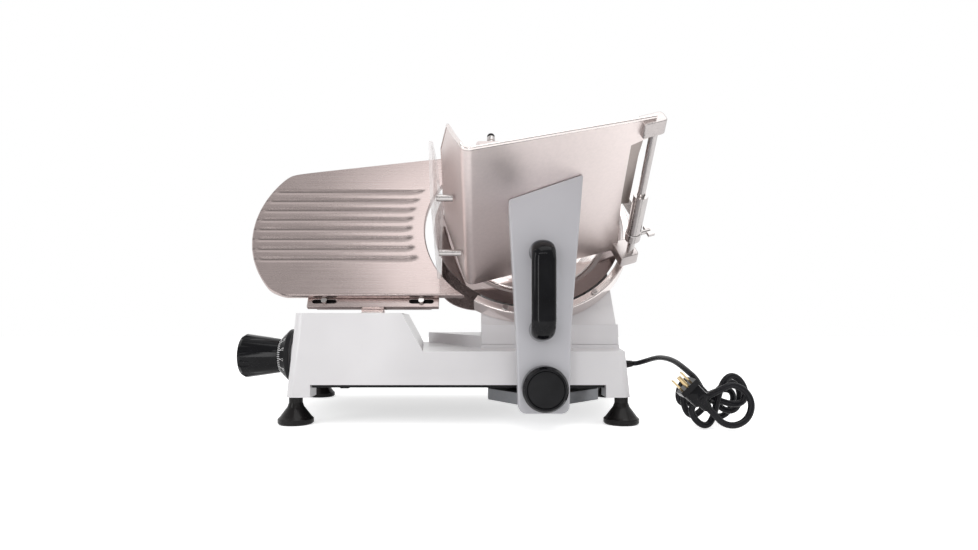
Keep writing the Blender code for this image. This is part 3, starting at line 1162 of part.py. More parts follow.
def make_pusher(rail, look):
    """The pusher: its rod, collar, wing screw, swinging arm, plate and grip."""
    bore = ROD_RADIUS + GAP
    rod("pusher_rod", look["steel"], rail, (0, 0, ROD_START), ROD_END - ROD_START, ROD_RADIUS)
    turned("pusher_collar", look["steel"], rail, [
        (bore, COLLAR[1]), (PUSHER_TUBE_RADIUS + 1, COLLAR[1]), (PUSHER_TUBE_RADIUS + 1, COLLAR[0]),
        (bore, COLLAR[0]),
    ], steps=24)
    middle = (COLLAR[0] + COLLAR[1]) / 2
    start = PUSHER_TUBE_RADIUS + 1 + GAP
    screw = rod("wing_screw", look["steel"], rail, (start, 0, middle), 12, 3, "X", 16)
    wing = box("wing", None, rail, (start + 7, -8, middle - 2), (start + 15, 8, middle + 2))
    fuse(screw, wing)
    low, high = PUSHER_TUBE
    arm = rod("pusher_arm", look["aluminium"], rail, (0, 0, low), high - low, PUSHER_TUBE_RADIUS)
    strip_low = low + 20
    strip = plate("arm_strip", None, rail, [[
        (-4, 4), (4, 4), (4, PUSHER_ARM_HEIGHT), (-PUSHER_REACH, PUSHER_ARM_HEIGHT),
        (-PUSHER_REACH, PUSHER_ARM_HEIGHT - 6), (-4, PUSHER_ARM_HEIGHT - 6),
    ]], strip_low, strip_low + PUSHER_ARM_WIDTH)
    fuse(arm, strip)
    cut(arm, rod("arm_bore", None, rail, (0, 0, low - 5), high - low + 10, bore))
    left = -PUSHER_REACH
    pitch = 2 * PUSHER_PLATE_HALF / TOOTH_COUNT
    face = strip_low + 6
    teeth = []
    for i in range(TOOTH_COUNT):
        teeth += [(left + i * pitch, face), (left + (i + 0.5) * pitch, face - TOOTH_DEPTH)]
    right = left + 2 * PUSHER_PLATE_HALF
    profile = teeth + [(right, face), (right, face + 4), (left, face + 4)]
    side_plate("pusher_plate", look["aluminium"], rail, [profile], PUSHER_PLATE_LOW,
               PUSHER_ARM_HEIGHT - 6 - GAP)
    grip_low = PUSHER_ARM_HEIGHT + GAP
    turned("pusher_grip", look["black"], rail, [
        (0, grip_low + 36), (8, grip_low + 35), (12, grip_low + 29), (10, grip_low + 12), (9, grip_low),
        (0, grip_low),
    ], (left + PUSHER_PLATE_HALF, 0, strip_low + PUSHER_ARM_WIDTH / 2), "Y", steps=20)


def make_switches(bench, look):
    """The switch panel on the left end wall with its two buttons."""
    wall = wall_frame("panel_wall", bench, -1, PANEL_Y, PANEL_Z)
    edge = rectangle(-PANEL_LENGTH / 2, -PANEL_HEIGHT / 2, PANEL_LENGTH / 2, PANEL_HEIGHT / 2)
    offset = PANEL_LENGTH / 4
    holes = [circle_outline((x, 0), SWITCH_RADIUS + GAP, 20) for x in (-offset, offset)]
    plate("switch_panel", look["black"], wall, [edge] + holes, GAP, GAP + PANEL_THICKNESS)
    for name, finish, x in (("on_button", "green", -offset), ("off_button", "red", offset)):
        rod(name, look[finish], wall, (x, 0, SWITCH_TRAVEL + 2 * GAP), 6, SWITCH_RADIUS, sides=20)


def catmull(points, count):
    """A smooth curve through points, with count steps in each span."""
    ends = [points[0] * 2 - points[1]] + list(points) + [points[-1] * 2 - points[-2]]
    result = []
    for i in range(1, len(ends) - 2):
        a, b, c, d = ends[i - 1:i + 3]
        for j in range(count):
            t = j / count
            result.append(0.5 * (2 * b + (c - a) * t + (2 * a - 5 * b + 4 * c - d) * t * t
                                 + (3 * b - a - 3 * c + d) * t ** 3))
    return result + [ends[-2]]


def spaced(points, spacing):
    """Points at an even spacing along a fine polyline, ends kept."""
    lengths = [0.0]
    for a, b in zip(points, points[1:]):
        lengths.append(lengths[-1] + (b - a).length)
    count = max(2, round(lengths[-1] / spacing))
    result = []
    place = 0
    for i in range(count + 1):
        wanted = lengths[-1] * i / count
        while place < len(points) - 2 and lengths[place + 1] < wanted:
            place += 1
        span = max(lengths[place + 1] - lengths[place], 1e-9)
        result.append(points[place].lerp(points[place + 1], (wanted - lengths[place]) / span))
    return result


def hank_route():
    """The hank's centre line: lobes to both sides of its tie, then a last loop."""
    tie = Vector((HANK_TIE[0], 0, HANK_TIE[1]))
    route = []
    steps = round(HANK_LOBES * LOOP_POINT_COUNT)
    for i in range(steps + 1):
        turn = math.pi * HANK_LOBES * i / steps
        along = HANK_REACH * math.sin(turn)
        across = -HANK_HALF_WIDTH * math.sin(2 * turn)
        lean = math.radians(HANK_FIRST_ANGLE + (HANK_LAST_ANGLE - HANK_FIRST_ANGLE) * i / steps)
        route.append(tie + Vector((
            along * math.cos(lean) - across * math.sin(lean),
            HANK_START_Y - HANK_PITCH * turn / math.pi,
            along * math.sin(lean) + across * math.cos(lean),
        )))
    depth = route[-1].y
    bend = []
    for i in range(BEND_POINT_COUNT + 1):
        share = i / BEND_POINT_COUNT
        angle = math.radians(90 + (HANK_TURN_END - 90) * share)
        bend.append(Vector((HANK_TURN_CENTRE[0] + HANK_TURN_RADIUS * math.cos(angle),
                            depth - HANK_PITCH * (0.7 + 0.9 * share),
                            HANK_TURN_CENTRE[1] + HANK_TURN_RADIUS * math.sin(angle))))
    ahead = (bend[-1] - bend[-2]).normalized()
    ahead.y = 0
    bend.append(bend[-1] + ahead.normalized() * 4 * CORD_RADIUS)
    link = catmull([route[-5], route[-1], bend[0], bend[2]], 5)[5:10]
    return route[:-1] + link + bend


def least_gap(points, radius):
    """The least gap of a tube to itself, skipping neighbours along it."""
    lengths = [0.0]
    for a, b in zip(points, points[1:]):
        lengths.append(lengths[-1] + (b - a).length)
    least = math.inf
    for i in range(len(points)):
        for j in range(i + 1, len(points)):
            if lengths[j] - lengths[i] > 6 * radius:
                least = min(least, (points[i] - points[j]).length)
    return least - 2 * radius


def make_plug(bench, look, end, ahead):
    """The plug at the cord's end: boot, body and three prongs."""
    frame = frame_empty("plug_frame", bench, end)
    frame.rotation_euler = ahead.to_track_quat("Z", "X").to_euler()
    plug = turned("plug", look["black"], frame, [
        (0, 15), (8, 15), (4.6, GAP), (0, GAP),
    ], steps=16)
    body = box("plug_body", None, frame, (-9.5, -7, 10), (9.5, 7, PLUG_LENGTH - 4))
    edge_bevel(body, 3, 2)
    face = box("plug_face", None, frame, (-11, -8.5, PLUG_LENGTH - 6), (11, 8.5, PLUG_LENGTH))
    fuse(plug, body, face)
    reach = PLUG_LENGTH + PRONG_LENGTH
    for x in (-6.3, 6.3):
        fuse(plug, box("prong", None, frame, (x - 0.8, -0.5, PLUG_LENGTH - 2), (x + 0.8, 5.5, reach)))
    fuse(plug, rod("earth_prong", None, frame, (0, -4, PLUG_LENGTH - 2), PRONG_LENGTH + 2, 2.3, sides=12))


def make_cord(bench, look):
    """The strain relief, the cord's free run, its hank and the plug."""
    wall = wall_frame("gland_wall", bench, 1, CORD_EXIT_Y, CORD_EXIT_Z)
    neck = CORD_RADIUS + 0.8
    turned("cord_gland", look["rubber"], wall, [
        (0, GLAND_LENGTH), (neck, GLAND_LENGTH), (7.5, 4), (9.5, 4), (9.5, GAP), (6, GAP), (6, -7), (0, -7),
    ], steps=20)
    bpy.context.view_layer.update()
    place = bench.matrix_world.inverted() @ wall.matrix_world
    outward = (place.to_3x3() @ Vector((0, 0, 1))).normalized()
    start = place.translation / MM + outward * (GLAND_LENGTH + GAP)
    hank = hank_route()
    lift = CORD_RADIUS + GAP - min(point.z for point in hank)
    hank = [point + Vector((0, 0, lift)) for point in hank]
    into = (hank[1] - hank[0]).normalized()
    run = [start, start + outward * 2 * CORD_RADIUS]
    run += [Vector(point) for point in CORD_LEAD]
    run += [hank[0] - into * (back + GAP) for back in (4 * CORD_RADIUS, 2 * CORD_RADIUS, 0)]
    fine = catmull(run, SPAN_POINT_COUNT)[SPAN_POINT_COUNT:-SPAN_POINT_COUNT]
    lead = [run[0]] + spaced(fine, 5 * CORD_RADIUS) + [run[-1]]
    tube("cord_lead", look["rubber"], bench, lead, CORD_RADIUS, 2)
    tube("cord_hank", look["rubber"], bench, hank, CORD_RADIUS, 1)
    ahead = (hank[-1] - hank[-2]).normalized()
    make_plug(bench, look, hank[-1], ahead)
    length = sum((b - a).length for a, b in zip(lead, lead[1:]))
    length += sum((b - a).length for a, b in zip(hank, hank[1:]))
    print(f"cord length {length:.1f} mm, hank's least gap to itself {least_gap(hank, CORD_RADIUS):.2f} mm")


CORD_PIECES = ("cord_lead", "cord_hank", "cord_gland", "plug")


def centre_on_origin(bench):
    """Move the slicer so that the middle of its box, without the cord, is at X = Y = 0."""
    bpy.context.view_layer.update()
    depsgraph = bpy.context.evaluated_depsgraph_get()
    corners = []
    for item in bpy.data.collections["meat_slicer"].objects:
        if item.type != "EMPTY" and item.name not in CORD_PIECES:
            seen = item.evaluated_get(depsgraph)
            corners += [seen.matrix_world @ vert.co for vert in seen.data.vertices]
    for axis in (0, 1):
        places = [corner[axis] for corner in corners]
        bench.location[axis] = round(-(min(places) + max(places)) / 2, 4)
    bpy.context.view_layer.update()


def main():
    """Build the whole slicer with its box centred on the origin."""
    set_up_scene()
    look = make_materials()
    bench = frame_empty("bench", None)
    blade = frame_empty("blade_frame", bench, BLADE_CENTRE, (90 - BLADE_LEAN, 0, 0))
    tray = frame_empty("tray_frame", blade, TRAY_CORNER, (0, 0, TRAY_TURN))
    rail = frame_empty("rod_frame", tray, ROD_LOW)
    rod_line = Vector(ROD_HIGH) - Vector(ROD_LOW)
    rail.rotation_euler = Vector((0, 0, 1)).rotation_difference(rod_line).to_euler()
    make_base(bench, look)
    make_bottom_cover(bench, look)
    make_feet(bench, look)
    make_housing(bench, blade, look)
    make_back_cover(bench, look)
    pulley = make_blade(blade, look)
    make_drive(blade, look, pulley)
    make_ring(blade, look)
    make_deflector(blade, look)
    make_sharpener(bench, blade, look)
    make_gauge_plate(blade, look)
    make_gauge_mount(bench, blade, look)
    make_knob(bench, look)
    make_carriage(bench, look)
    make_arm(bench, tray, look)
    make_tray(tray, rail, look)
    make_guard(blade, look)
    make_pusher(rail, look)
    make_switches(bench, look)
    make_cord(bench, look)
    centre_on_origin(bench)
    for frame in (bench, blade, tray, rail):
        rows = frame.matrix_world
        print(frame.name, [round(v, 5) for v in rows.translation],
              [[round(v, 5) for v in rows.col[i][:3]] for i in range(3)])


main()
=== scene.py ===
"""Looks of an electric meat slicer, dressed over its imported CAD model.

Every length is in metres unless its name says otherwise. World axes: +X to the operator's right,
+Y away from the operator, +Z up. The blade leans back, and the pieces around it are worked out in
the blade's own frame, whose axes are x, up the blade and out towards the operator.
"""
from __future__ import annotations

import json
import logging
import math
from dataclasses import dataclass
from enum import Enum
from typing import Sequence, Union

import bmesh
import bpy
import numpy as np
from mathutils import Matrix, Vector

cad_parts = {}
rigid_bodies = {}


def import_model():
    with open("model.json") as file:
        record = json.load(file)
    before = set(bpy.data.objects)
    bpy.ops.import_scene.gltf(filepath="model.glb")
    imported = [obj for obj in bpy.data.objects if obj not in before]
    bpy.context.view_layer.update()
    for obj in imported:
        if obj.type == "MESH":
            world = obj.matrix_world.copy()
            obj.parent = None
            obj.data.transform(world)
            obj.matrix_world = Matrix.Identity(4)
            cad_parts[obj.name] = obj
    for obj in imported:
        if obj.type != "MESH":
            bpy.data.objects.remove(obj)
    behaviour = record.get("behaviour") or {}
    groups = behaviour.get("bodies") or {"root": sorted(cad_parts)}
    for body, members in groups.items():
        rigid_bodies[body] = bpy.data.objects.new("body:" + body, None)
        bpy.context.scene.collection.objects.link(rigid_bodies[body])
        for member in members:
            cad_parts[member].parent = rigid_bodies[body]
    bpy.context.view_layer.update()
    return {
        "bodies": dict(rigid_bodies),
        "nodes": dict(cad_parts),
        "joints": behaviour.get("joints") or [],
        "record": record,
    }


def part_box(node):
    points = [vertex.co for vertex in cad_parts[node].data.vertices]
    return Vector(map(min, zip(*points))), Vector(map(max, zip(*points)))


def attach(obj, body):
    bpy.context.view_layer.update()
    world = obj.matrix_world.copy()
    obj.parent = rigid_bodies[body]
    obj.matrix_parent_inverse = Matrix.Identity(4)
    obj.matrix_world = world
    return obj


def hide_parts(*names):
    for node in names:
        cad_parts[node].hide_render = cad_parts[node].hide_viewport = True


log = logging.getLogger("slicer")

Triple = tuple[float, float, float]
Number = Union[int, float]
MM = 0.001


# Shader maths

class Wire:
    """A shader output that adds, subtracts, multiplies and compares like a number."""

    def __init__(self, paint: "Shader", socket: bpy.types.NodeSocket) -> None:
        """Wraps a socket of one shader.

        Args:
            paint: the shader whose nodes the expression adds to.
            socket: the output that is wrapped.
        """
        self.paint = paint
        self.socket = socket

    def _math(self, operation: str, first: "Value", second: "Value" = 0.0) -> "Wire":
        """One Math node on two values."""
        return self.paint.node("ShaderNodeMath", {"operation": operation}, {0: first, 1: second})

    def __add__(self, other: "Value") -> "Wire":
        """Sum."""
        return self._math("ADD", self, other)

    __radd__ = __add__

    def __sub__(self, other: "Value") -> "Wire":
        """Difference."""
        return self._math("SUBTRACT", self, other)

    def __rsub__(self, other: "Value") -> "Wire":
        """Difference from a plain number."""
        return self._math("SUBTRACT", other, self)

    def __mul__(self, other: "Value") -> "Wire":
        """Product."""
        return self._math("MULTIPLY", self, other)

    __rmul__ = __mul__

    def __truediv__(self, other: "Value") -> "Wire":
        """Quotient."""
        return self._math("DIVIDE", self, other)

    def __pow__(self, other: "Value") -> "Wire":
        """Power."""
        return self._math("POWER", self, other)

    def __gt__(self, other: "Value") -> "Wire":
        """1 where this is greater, else 0."""
        return self._math("GREATER_THAN", self, other)

    def __lt__(self, other: "Value") -> "Wire":
        """1 where this is less, else 0."""
        return self._math("LESS_THAN", self, other)

    def sine(self) -> "Wire":
        """Sine of an angle in radians."""
        return self._math("SINE", self)

    def size(self) -> "Wire":
        """Absolute value."""
        return self._math("ABSOLUTE", self)

    def root(self) -> "Wire":
        """Square root."""
        return self._math("SQRT", self)

    def ramp(self, low: float, high: float) -> "Wire":
        """Rises smoothly from 0 at low to 1 at high.

        Args:
            low: the value that gives 0.
            high: the value that gives 1.
        Returns:
            The eased share between them.
        """
        settings = {"interpolation_type": "SMOOTHSTEP"}
        ends = {"Value": self, 1: low, 2: high, 3: 0.0, 4: 1.0}
        return self.paint.node("ShaderNodeMapRange", settings, ends)


Value = Union[Wire, Number, Sequence[float]]


class Shader:
    """One material's nodes, built by expressions and one general node method."""

    def __init__(self, name: str) -> None:
        """Starts an empty material.

        Args:
            name: the material's name.
        """
        self.material = bpy.data.materials.new(name)
        self.material.use_nodes = True
        self.tree = self.material.node_tree
        self.tree.nodes.clear()

    def node(self, kind: str, settings: dict, values: dict, output: Union[int, str] = 0) -> Wire:
        """Adds any node.

        Args:
            kind: the node's type.
            settings: properties that are set before its sockets; "stops" sets a colour ramp.
            values: numbers, tuples or wires, by input name or place.
            output: the name or place of the output that is returned.
        Returns:
            That output as a wire.
        """
        made = self.tree.nodes.new(kind)
        for key, setting in settings.items():
            if key == "stops":
                self._set_stops(made, setting)
            else:
                setattr(made, key, setting)
        for key, value in values.items():
            if isinstance(value, Wire):
                self.tree.links.new(value.socket, made.inputs[key])
            else:
                made.inputs[key].default_value = value
        return Wire(self, made.outputs[output])

    @staticmethod
    def _set_stops(made: bpy.types.Node, stops: Sequence[tuple[float, Sequence[float]]]) -> None:
        """Fills a colour ramp from (place, colour) pairs."""
        ramp = made.color_ramp
        while len(ramp.elements) < len(stops):
            ramp.elements.new(0.5)
        for element, (place, colour) in zip(ramp.elements, stops):
            element.position = place
            element.color = (*colour, 1.0)

    def place(self) -> Wire:
        """Object coordinates in metres, which are world coordinates at rest."""
        return self.node("ShaderNodeTexCoord", {}, {}, "Object")

    def axes(self, vector: Wire) -> tuple[Wire, Wire, Wire]:
        """Splits a vector in its three numbers."""
        split = self.node("ShaderNodeSeparateXYZ", {}, {0: vector})
        outputs = split.socket.node.outputs
        return Wire(self, outputs[0]), Wire(self, outputs[1]), Wire(self, outputs[2])

    def stretched(self, vector: Wire, scale: Triple, turn: Triple = (0.0, 0.0, 0.0)) -> Wire:
        """Turns and then scales a pattern's coordinates.

        Args:
            vector: the coordinates.
            scale: factor along each axis.
            turn: angles about each axis, in degrees.
        Returns:
            The changed coordinates.
        """
        turned = self.node("ShaderNodeMapping", {"vector_type": "POINT"}, {
            "Vector": vector, "Rotation": tuple(math.radians(angle) for angle in turn)})
        return self.node("ShaderNodeMapping", {"vector_type": "POINT"}, {"Vector": turned, "Scale": scale})

    def noise(self, vector: Wire, scale: float, detail: float = 2.0, rough: float = 0.5) -> Wire:
        """Cloudy noise between 0 and 1."""
        return self.node("ShaderNodeTexNoise", {}, {
            "Vector": vector, "Scale": scale, "Detail": detail, "Roughness": rough})

    def mix(self, share: Value, first: Value, second: Value) -> Wire:
        """Blends two colours by a share."""
        return self.node("ShaderNodeMix", {"data_type": "RGBA"}, {0: share, 6: first, 7: second}, 2)

    def bump(self, height: Wire, depth: float, strength: float = 1.0) -> Wire:
        """A normal from a height between 0 and 1 and its depth in metres."""
        return self.node("ShaderNodeBump", {}, {"Strength": strength, "Distance": depth, "Height": height})

    def surface(self, values: dict) -> bpy.types.Material:
        """Ends the material in a Principled shader with the given sockets."""
        return self.end(self.node("ShaderNodeBsdfPrincipled", {}, values))

    def end(self, body: Wire) -> bpy.types.Material:
        """Links a finished shader to the material's output."""
        output = self.tree.nodes.new("ShaderNodeOutputMaterial")
        self.tree.links.new(body.socket, output.inputs["Surface"])
        return self.material


def colour(red: float, green: float, blue: float) -> tuple[float, float, float, float]:
    """An opaque linear colour."""
    return (red, green, blue, 1.0)


# Finishes

@dataclass(frozen=True)
class CastPaint:
    """Smooth paint over a casting: a faint orange peel, soft clouding and a clear gloss."""

    name: str
    tint: Triple
    roughness: float = 0.34
    peel: float = 0.00006

    def material(self) -> bpy.types.Material:
        """Builds the paint's material."""
        paint = Shader(self.name)
        place = paint.place()
        cloud = paint.noise(place, 9.0, 3.0)
        speck = paint.noise(place, 900.0, 2.0)
        peel = paint.noise(place, 420.0, 2.0, 0.6)
        dull = tuple(part * 0.94 for part in self.tint)
        base = paint.mix(cloud.ramp(0.35, 0.75), colour(*dull), colour(*self.tint))
        base = paint.mix(speck.ramp(0.72, 0.8) * 0.08, base, colour(0.35, 0.35, 0.35))
        rough = cloud.ramp(0.3, 0.7) * 0.1 + (self.roughness - 0.05)
        return paint.surface({
            "Base Color": base, "Roughness": rough, "Coat Weight": 0.35, "Coat Roughness": 0.16,
            "Normal": paint.bump(peel, self.peel, 0.5)})


class Grain(Enum):
    """Which way a metal's brush lines run."""

    ALONG_X = "along x"
    UP = "up the blade"
    ROUND = "round the blade's axis"
    NONE = "cast"


@dataclass(frozen=True)
class Metal:
    """Metal with fine brush lines, soft smudges and a few hairline scratches."""

    name: str
    tint: Triple
    roughness: float
    grain: Grain
    centre: Triple = (0.0, 0.0, 0.0)
    lean: float = 30.0
    depth: float = 0.000004
    contrast: float = 0.08
    # Whether to paint shade as a dark line in each of the gauge plate's groove valleys.
    grooved: bool = False

    def lines(self, paint: Shader) -> tuple[Wire, Wire]:
        """The coordinates of the brush lines and of the smudges.

        Args:
            paint: the shader that gets the nodes.
        Returns:
            Coordinates squeezed across the lines, and plain coordinates in the blade's frame.
        """
        shifted = paint.node("ShaderNodeVectorMath", {"operation": "SUBTRACT"}, {
            0: paint.place(), 1: self.centre})
        flat = paint.stretched(shifted, (1.0, 1.0, 1.0), (-(90.0 - self.lean), 0.0, 0.0))
        if self.grain is Grain.ALONG_X:
            return paint.stretched(flat, (6.0, 700.0, 700.0)), flat
        if self.grain is Grain.UP:
            return paint.stretched(flat, (700.0, 6.0, 700.0)), flat
        if self.grain is Grain.NONE:
            return paint.stretched(flat, (260.0, 260.0, 260.0)), flat
        across, up, out = paint.axes(flat)
        angle = paint.node("ShaderNodeMath", {"operation": "ARCTAN2"}, {0: up, 1: across})
        radius = (across * across + up * up).root()
        ring = paint.node("ShaderNodeCombineXYZ", {}, {0: angle * 1.2, 1: radius * 700.0, 2: out * 700.0})
        return ring, flat

    def material(self) -> bpy.types.Material:
        """Builds the metal's material."""
        paint = Shader(self.name)
        lines, flat = self.lines(paint)
        streak = paint.noise(lines, 1.0, 3.0, 0.6)
        smudge = paint.noise(flat, 14.0, 4.0, 0.6)
        hair = paint.noise(paint.stretched(flat, (30.0, 900.0, 900.0), (0.0, 0.0, 24.0)), 1.0, 1.0)
        scratch = hair.ramp(0.74, 0.78)
        dark = tuple(part * (1.0 - self.contrast) for part in self.tint)
        base = paint.mix(streak.ramp(0.3, 0.7), colour(*dark), colour(*self.tint))
        base = paint.mix(scratch * 0.12, base, colour(0.92, 0.9, 0.88))
        # Painted shade: the groove valleys are darkened to 0.42 of the tint.
        if self.grooved:
            base = paint.mix(self.grooves(paint, flat), base, colour(*(part * 0.42 for part in self.tint)))
        rough = streak * 0.1 + smudge.ramp(0.3, 0.8) * 0.05 + (self.roughness - 0.07)
        return paint.surface({
            "Base Color": base, "Metallic": 1.0, "Roughness": rough,
            "Normal": paint.bump(streak, self.depth)})

    @staticmethod
    def grooves(paint: Shader, flat: Wire) -> Wire:
        """Painted shade in the gauge plate's eight groove valleys: a dark line in each, standing in for the
        shade the real plate gets there.

        Each is a power of a cosine across the grooves; they fade out at the top, the bottom and round the
        blade, where they hook upwards.

        Args:
            paint: the shader that gets the nodes.
            flat: coordinates in the blade's frame.
        Returns:
            The share of the painted shade's dark tone.
        """
        across, up, _ = paint.axes(flat)
        radius = (across * across + up * up).root()
        hook = (radius.ramp(0.152, 0.178) * -1.0 + 1.0) ** 2.0
        up = up - hook * 0.003
        phase = (up - 0.0607) / 0.0164
        wave = ((phase * (2 * math.pi) + math.pi / 2).sine() * 0.5 + 0.5) ** 9.0
        span = up.ramp(-0.0621, -0.0601) * (up.ramp(0.0641, 0.0661) * -1.0 + 1.0)
        return wave * span * radius.ramp(0.152, 0.158) * 0.8


@dataclass(frozen=True)
class Moulded:
    """Moulded plastic or rubber: gloss, faint flow marks and fine dust."""

    name: str
    tint: Triple
    roughness: float
    coat: float = 0.0
    texture: float = 300.0
    depth: float = 0.00002
    dust: float = 0.02
    sheen: float = 0.15

    def material(self) -> bpy.types.Material:
        """Builds the plastic's material."""
        paint = Shader(self.name)
        place = paint.place()
        flow = paint.noise(place, 30.0, 3.0)
        skin = paint.noise(place, self.texture, 3.0, 0.6)
        specks = paint.noise(place, 1500.0, 1.0)
        pale = tuple(part * 1.4 + 0.002 for part in self.tint)
        base = paint.mix(flow.ramp(0.35, 0.7), colour(*self.tint), colour(*pale))
        base = paint.mix(specks.ramp(0.74, 0.8) * self.dust, base, colour(0.5, 0.5, 0.5))
        rough = flow * 0.08 + skin * 0.05 + (self.roughness - 0.06)
        return paint.surface({
            "Base Color": base, "Roughness": rough, "Coat Weight": self.coat, "Coat Roughness": 0.06,
            "Specular IOR Level": self.sheen, "Normal": paint.bump(skin, self.depth, 0.6)})


@dataclass(frozen=True)
class ClearSheet:
    """Clear plastic sheet: mostly see-through, with a milky tint, faint darker and less clear streaks, and a
    gloss.
    """

    name: str
    tint: Triple = (0.95, 0.92, 0.92)
    body: float = 0.3

    def material(self) -> bpy.types.Material:
        """Builds the clear sheet's material."""
        paint = Shader(self.name)
        streak_cloud = paint.noise(paint.stretched(paint.place(), (26.0, 60.0, 18.0)), 1.0, 3.0)
        streak = streak_cloud.ramp(0.42, 0.78)
        return paint.surface({
            "Base Color": paint.mix(streak, colour(*self.tint), colour(0.66, 0.62, 0.62)),
            "Roughness": streak * 0.15 + 0.04,
            "Alpha": streak * 0.14 + self.body})


@dataclass(frozen=True)
class Grit:
    """Bonded abrasive: coarse bright and dark grains."""

    name: str
    tint: Triple = (0.34, 0.31, 0.28)

    def material(self) -> bpy.types.Material:
        """Builds the stone's material."""
        paint = Shader(self.name)
        place = paint.place()
        grain = paint.noise(place, 1300.0, 3.0, 0.7)
        lump = paint.noise(place, 300.0, 2.0)
        pale = tuple(part * 1.6 for part in self.tint)
        base = paint.mix(grain.ramp(0.4, 0.65), colour(*self.tint), colour(*pale))
        return paint.surface({
            "Base Color": base, "Roughness": 0.9, "Normal": paint.bump(grain + lump, 0.0003)})


@dataclass(frozen=True)
class White:
    """A surface that shows plain white to the camera and glass, paler in mirrors, and takes shadow."""

    name: str
    lift: float = 0.3
    mirrored: float = 0.55

    def material(self) -> bpy.types.Material:
        """Builds the floor's material."""
        paint = Shader(self.name)
        rays = paint.node("ShaderNodeLightPath", {}, {})
        outputs = rays.socket.node.outputs
        seen = Wire(paint, outputs["Is Camera Ray"]) + Wire(paint, outputs["Is Glossy Ray"]) * self.mirrored
        seen = seen + Wire(paint, outputs["Is Transmission Ray"])
        shade = paint.noise(paint.place(), 3.0, 2.0)
        base = paint.mix(shade, colour(0.9, 0.9, 0.9), colour(0.92, 0.92, 0.92))
        matt = paint.node("ShaderNodeBsdfDiffuse", {}, {"Color": base})
        white = colour(1.0, 1.0, 1.0)
        glow = paint.node("ShaderNodeEmission", {}, {"Color": white, "Strength": seen * self.lift})
        both = paint.node("ShaderNodeAddShader", {}, {0: matt, 1: glow})
        return paint.end(both)


@dataclass
class Palette:
    """Every finish on the slicer, built once."""

    blade_centre: Triple
    lean: float

    def __post_init__(self) -> None:
        """Builds the materials."""
        round_blade = {"grain": Grain.ROUND, "centre": self.blade_centre, "lean": self.lean}
        self.paint = CastPaint("white_paint", (0.745, 0.73, 0.742)).material()
        self.arm_paint = CastPaint("grey_paint", (0.52, 0.515, 0.545), 0.38).material()
        self.plate = Metal("brushed_aluminium", (0.53, 0.445, 0.43), 0.27, Grain.ALONG_X, self.blade_centre,
                           self.lean).material()
        # The gauge plate's metal, with painted shade in its groove valleys.
        self.grooved = Metal("groove_shaded_aluminium", (0.53, 0.445, 0.43), 0.27, Grain.ALONG_X, self.blade_centre,
                             self.lean, grooved=True).material()
        self.tray = Metal("tray_aluminium", (0.86, 0.77, 0.75), 0.4, Grain.NONE, self.blade_centre,
                          self.lean, depth=0.000002, contrast=0.04).material()
        self.ring = Metal("turned_aluminium", (0.9, 0.83, 0.81), 0.24, contrast=0.1, **round_blade).material()
        # The blade's tint is darkened well below steel's: a painted dark reflection of the surroundings that
        # a mirror-like disc shows.
        self.blade = Metal("blade_steel", (0.22, 0.185, 0.18), 0.16, depth=0.000006, **round_blade).material()
        self.cast = Metal("cast_aluminium", (0.54, 0.5, 0.49), 0.3, Grain.NONE, self.blade_centre,
                          self.lean, depth=0.00006).material()
        self.steel = Metal("machined_steel", (0.56, 0.53, 0.52), 0.12, Grain.NONE, self.blade_centre,
                           self.lean, depth=0.00001).material()
        self.brass = Metal("prong_brass", (0.72, 0.55, 0.3), 0.2, Grain.NONE, self.blade_centre,
                           self.lean, depth=0.00001).material()
        # Dark metal for the tray's flange: painted shade, standing in for the shading a slanted flange would
        # get. The flange lies flat in the floor's plane.
        self.dull = Metal("flange_shade_aluminium", (0.4, 0.35, 0.33), 0.42, Grain.ALONG_X, self.blade_centre,
                          self.lean).material()
        self.dark = Metal("dark_aluminium", (0.26, 0.265, 0.28), 0.42, Grain.NONE, self.blade_centre,
                          self.lean, depth=0.00004).material()
        self.black = Moulded("gloss_black", (0.004, 0.004, 0.005), 0.1, 0.06).material()
        self.satin = Moulded("satin_black", (0.009, 0.009, 0.01), 0.36, 0.0, 500.0).material()
        self.rubber = Moulded("foot_rubber", (0.009, 0.008, 0.008), 0.2, 0.1, 400.0).material()
        self.cord = Moulded("cord_rubber", (0.008, 0.008, 0.01), 0.24, 0.1, 700.0).material()
        self.white = Moulded("mark_white", (0.8, 0.8, 0.8), 0.4).material()
        self.green = Moulded("green_button", (0.02, 0.3, 0.06), 0.25, 0.3).material()
        self.red = Moulded("red_button", (0.5, 0.02, 0.02), 0.25, 0.3).material()
        self.clear = ClearSheet("clear_sheet").material()
        self.stone = Grit("abrasive").material()


# Surfaces on a grid of two parameters

def grid_faces(rows: int, columns: int, wrap_rows: bool, wrap_columns: bool, start: int = 0) -> np.ndarray:
    """The four-cornered faces of a grid of points numbered row by row.

    Args:
        rows: how many rows of points.
        columns: how many points in a row.
        wrap_rows: whether the last row joins the first.
        wrap_columns: whether each row's end joins its start.
        start: the number of the first point.
    Returns:
        One row of four point numbers a face.
    """
    row = np.arange(rows if wrap_rows else rows - 1)
    column = np.arange(columns if wrap_columns else columns - 1)
    row, column = (part.ravel() for part in np.meshgrid(row, column, indexing="ij"))
    below = (row + 1) % rows
    right = (column + 1) % columns
    corners = (row * columns + column, row * columns + right,
               below * columns + right, below * columns + column)
    return np.stack(corners, axis=1) + start


@dataclass
class Sheet:
    """One grid of points, with how it closes on itself."""

    points: np.ndarray
    wrap_rows: bool = False
    wrap_columns: bool = False
    cap_first: bool = False
    cap_last: bool = False

    def faces(self, start: int) -> list[list[int]]:
        """The grid's faces and its end caps, numbered from start."""
        rows, columns = self.points.shape[:2]
        made = grid_faces(rows, columns, self.wrap_rows, self.wrap_columns, start).tolist()
        if self.cap_first:
            made.append(list(range(start + columns - 1, start - 1, -1)))
        if self.cap_last:
            last = start + (rows - 1) * columns
            made.append(list(range(last, last + columns)))
        return made


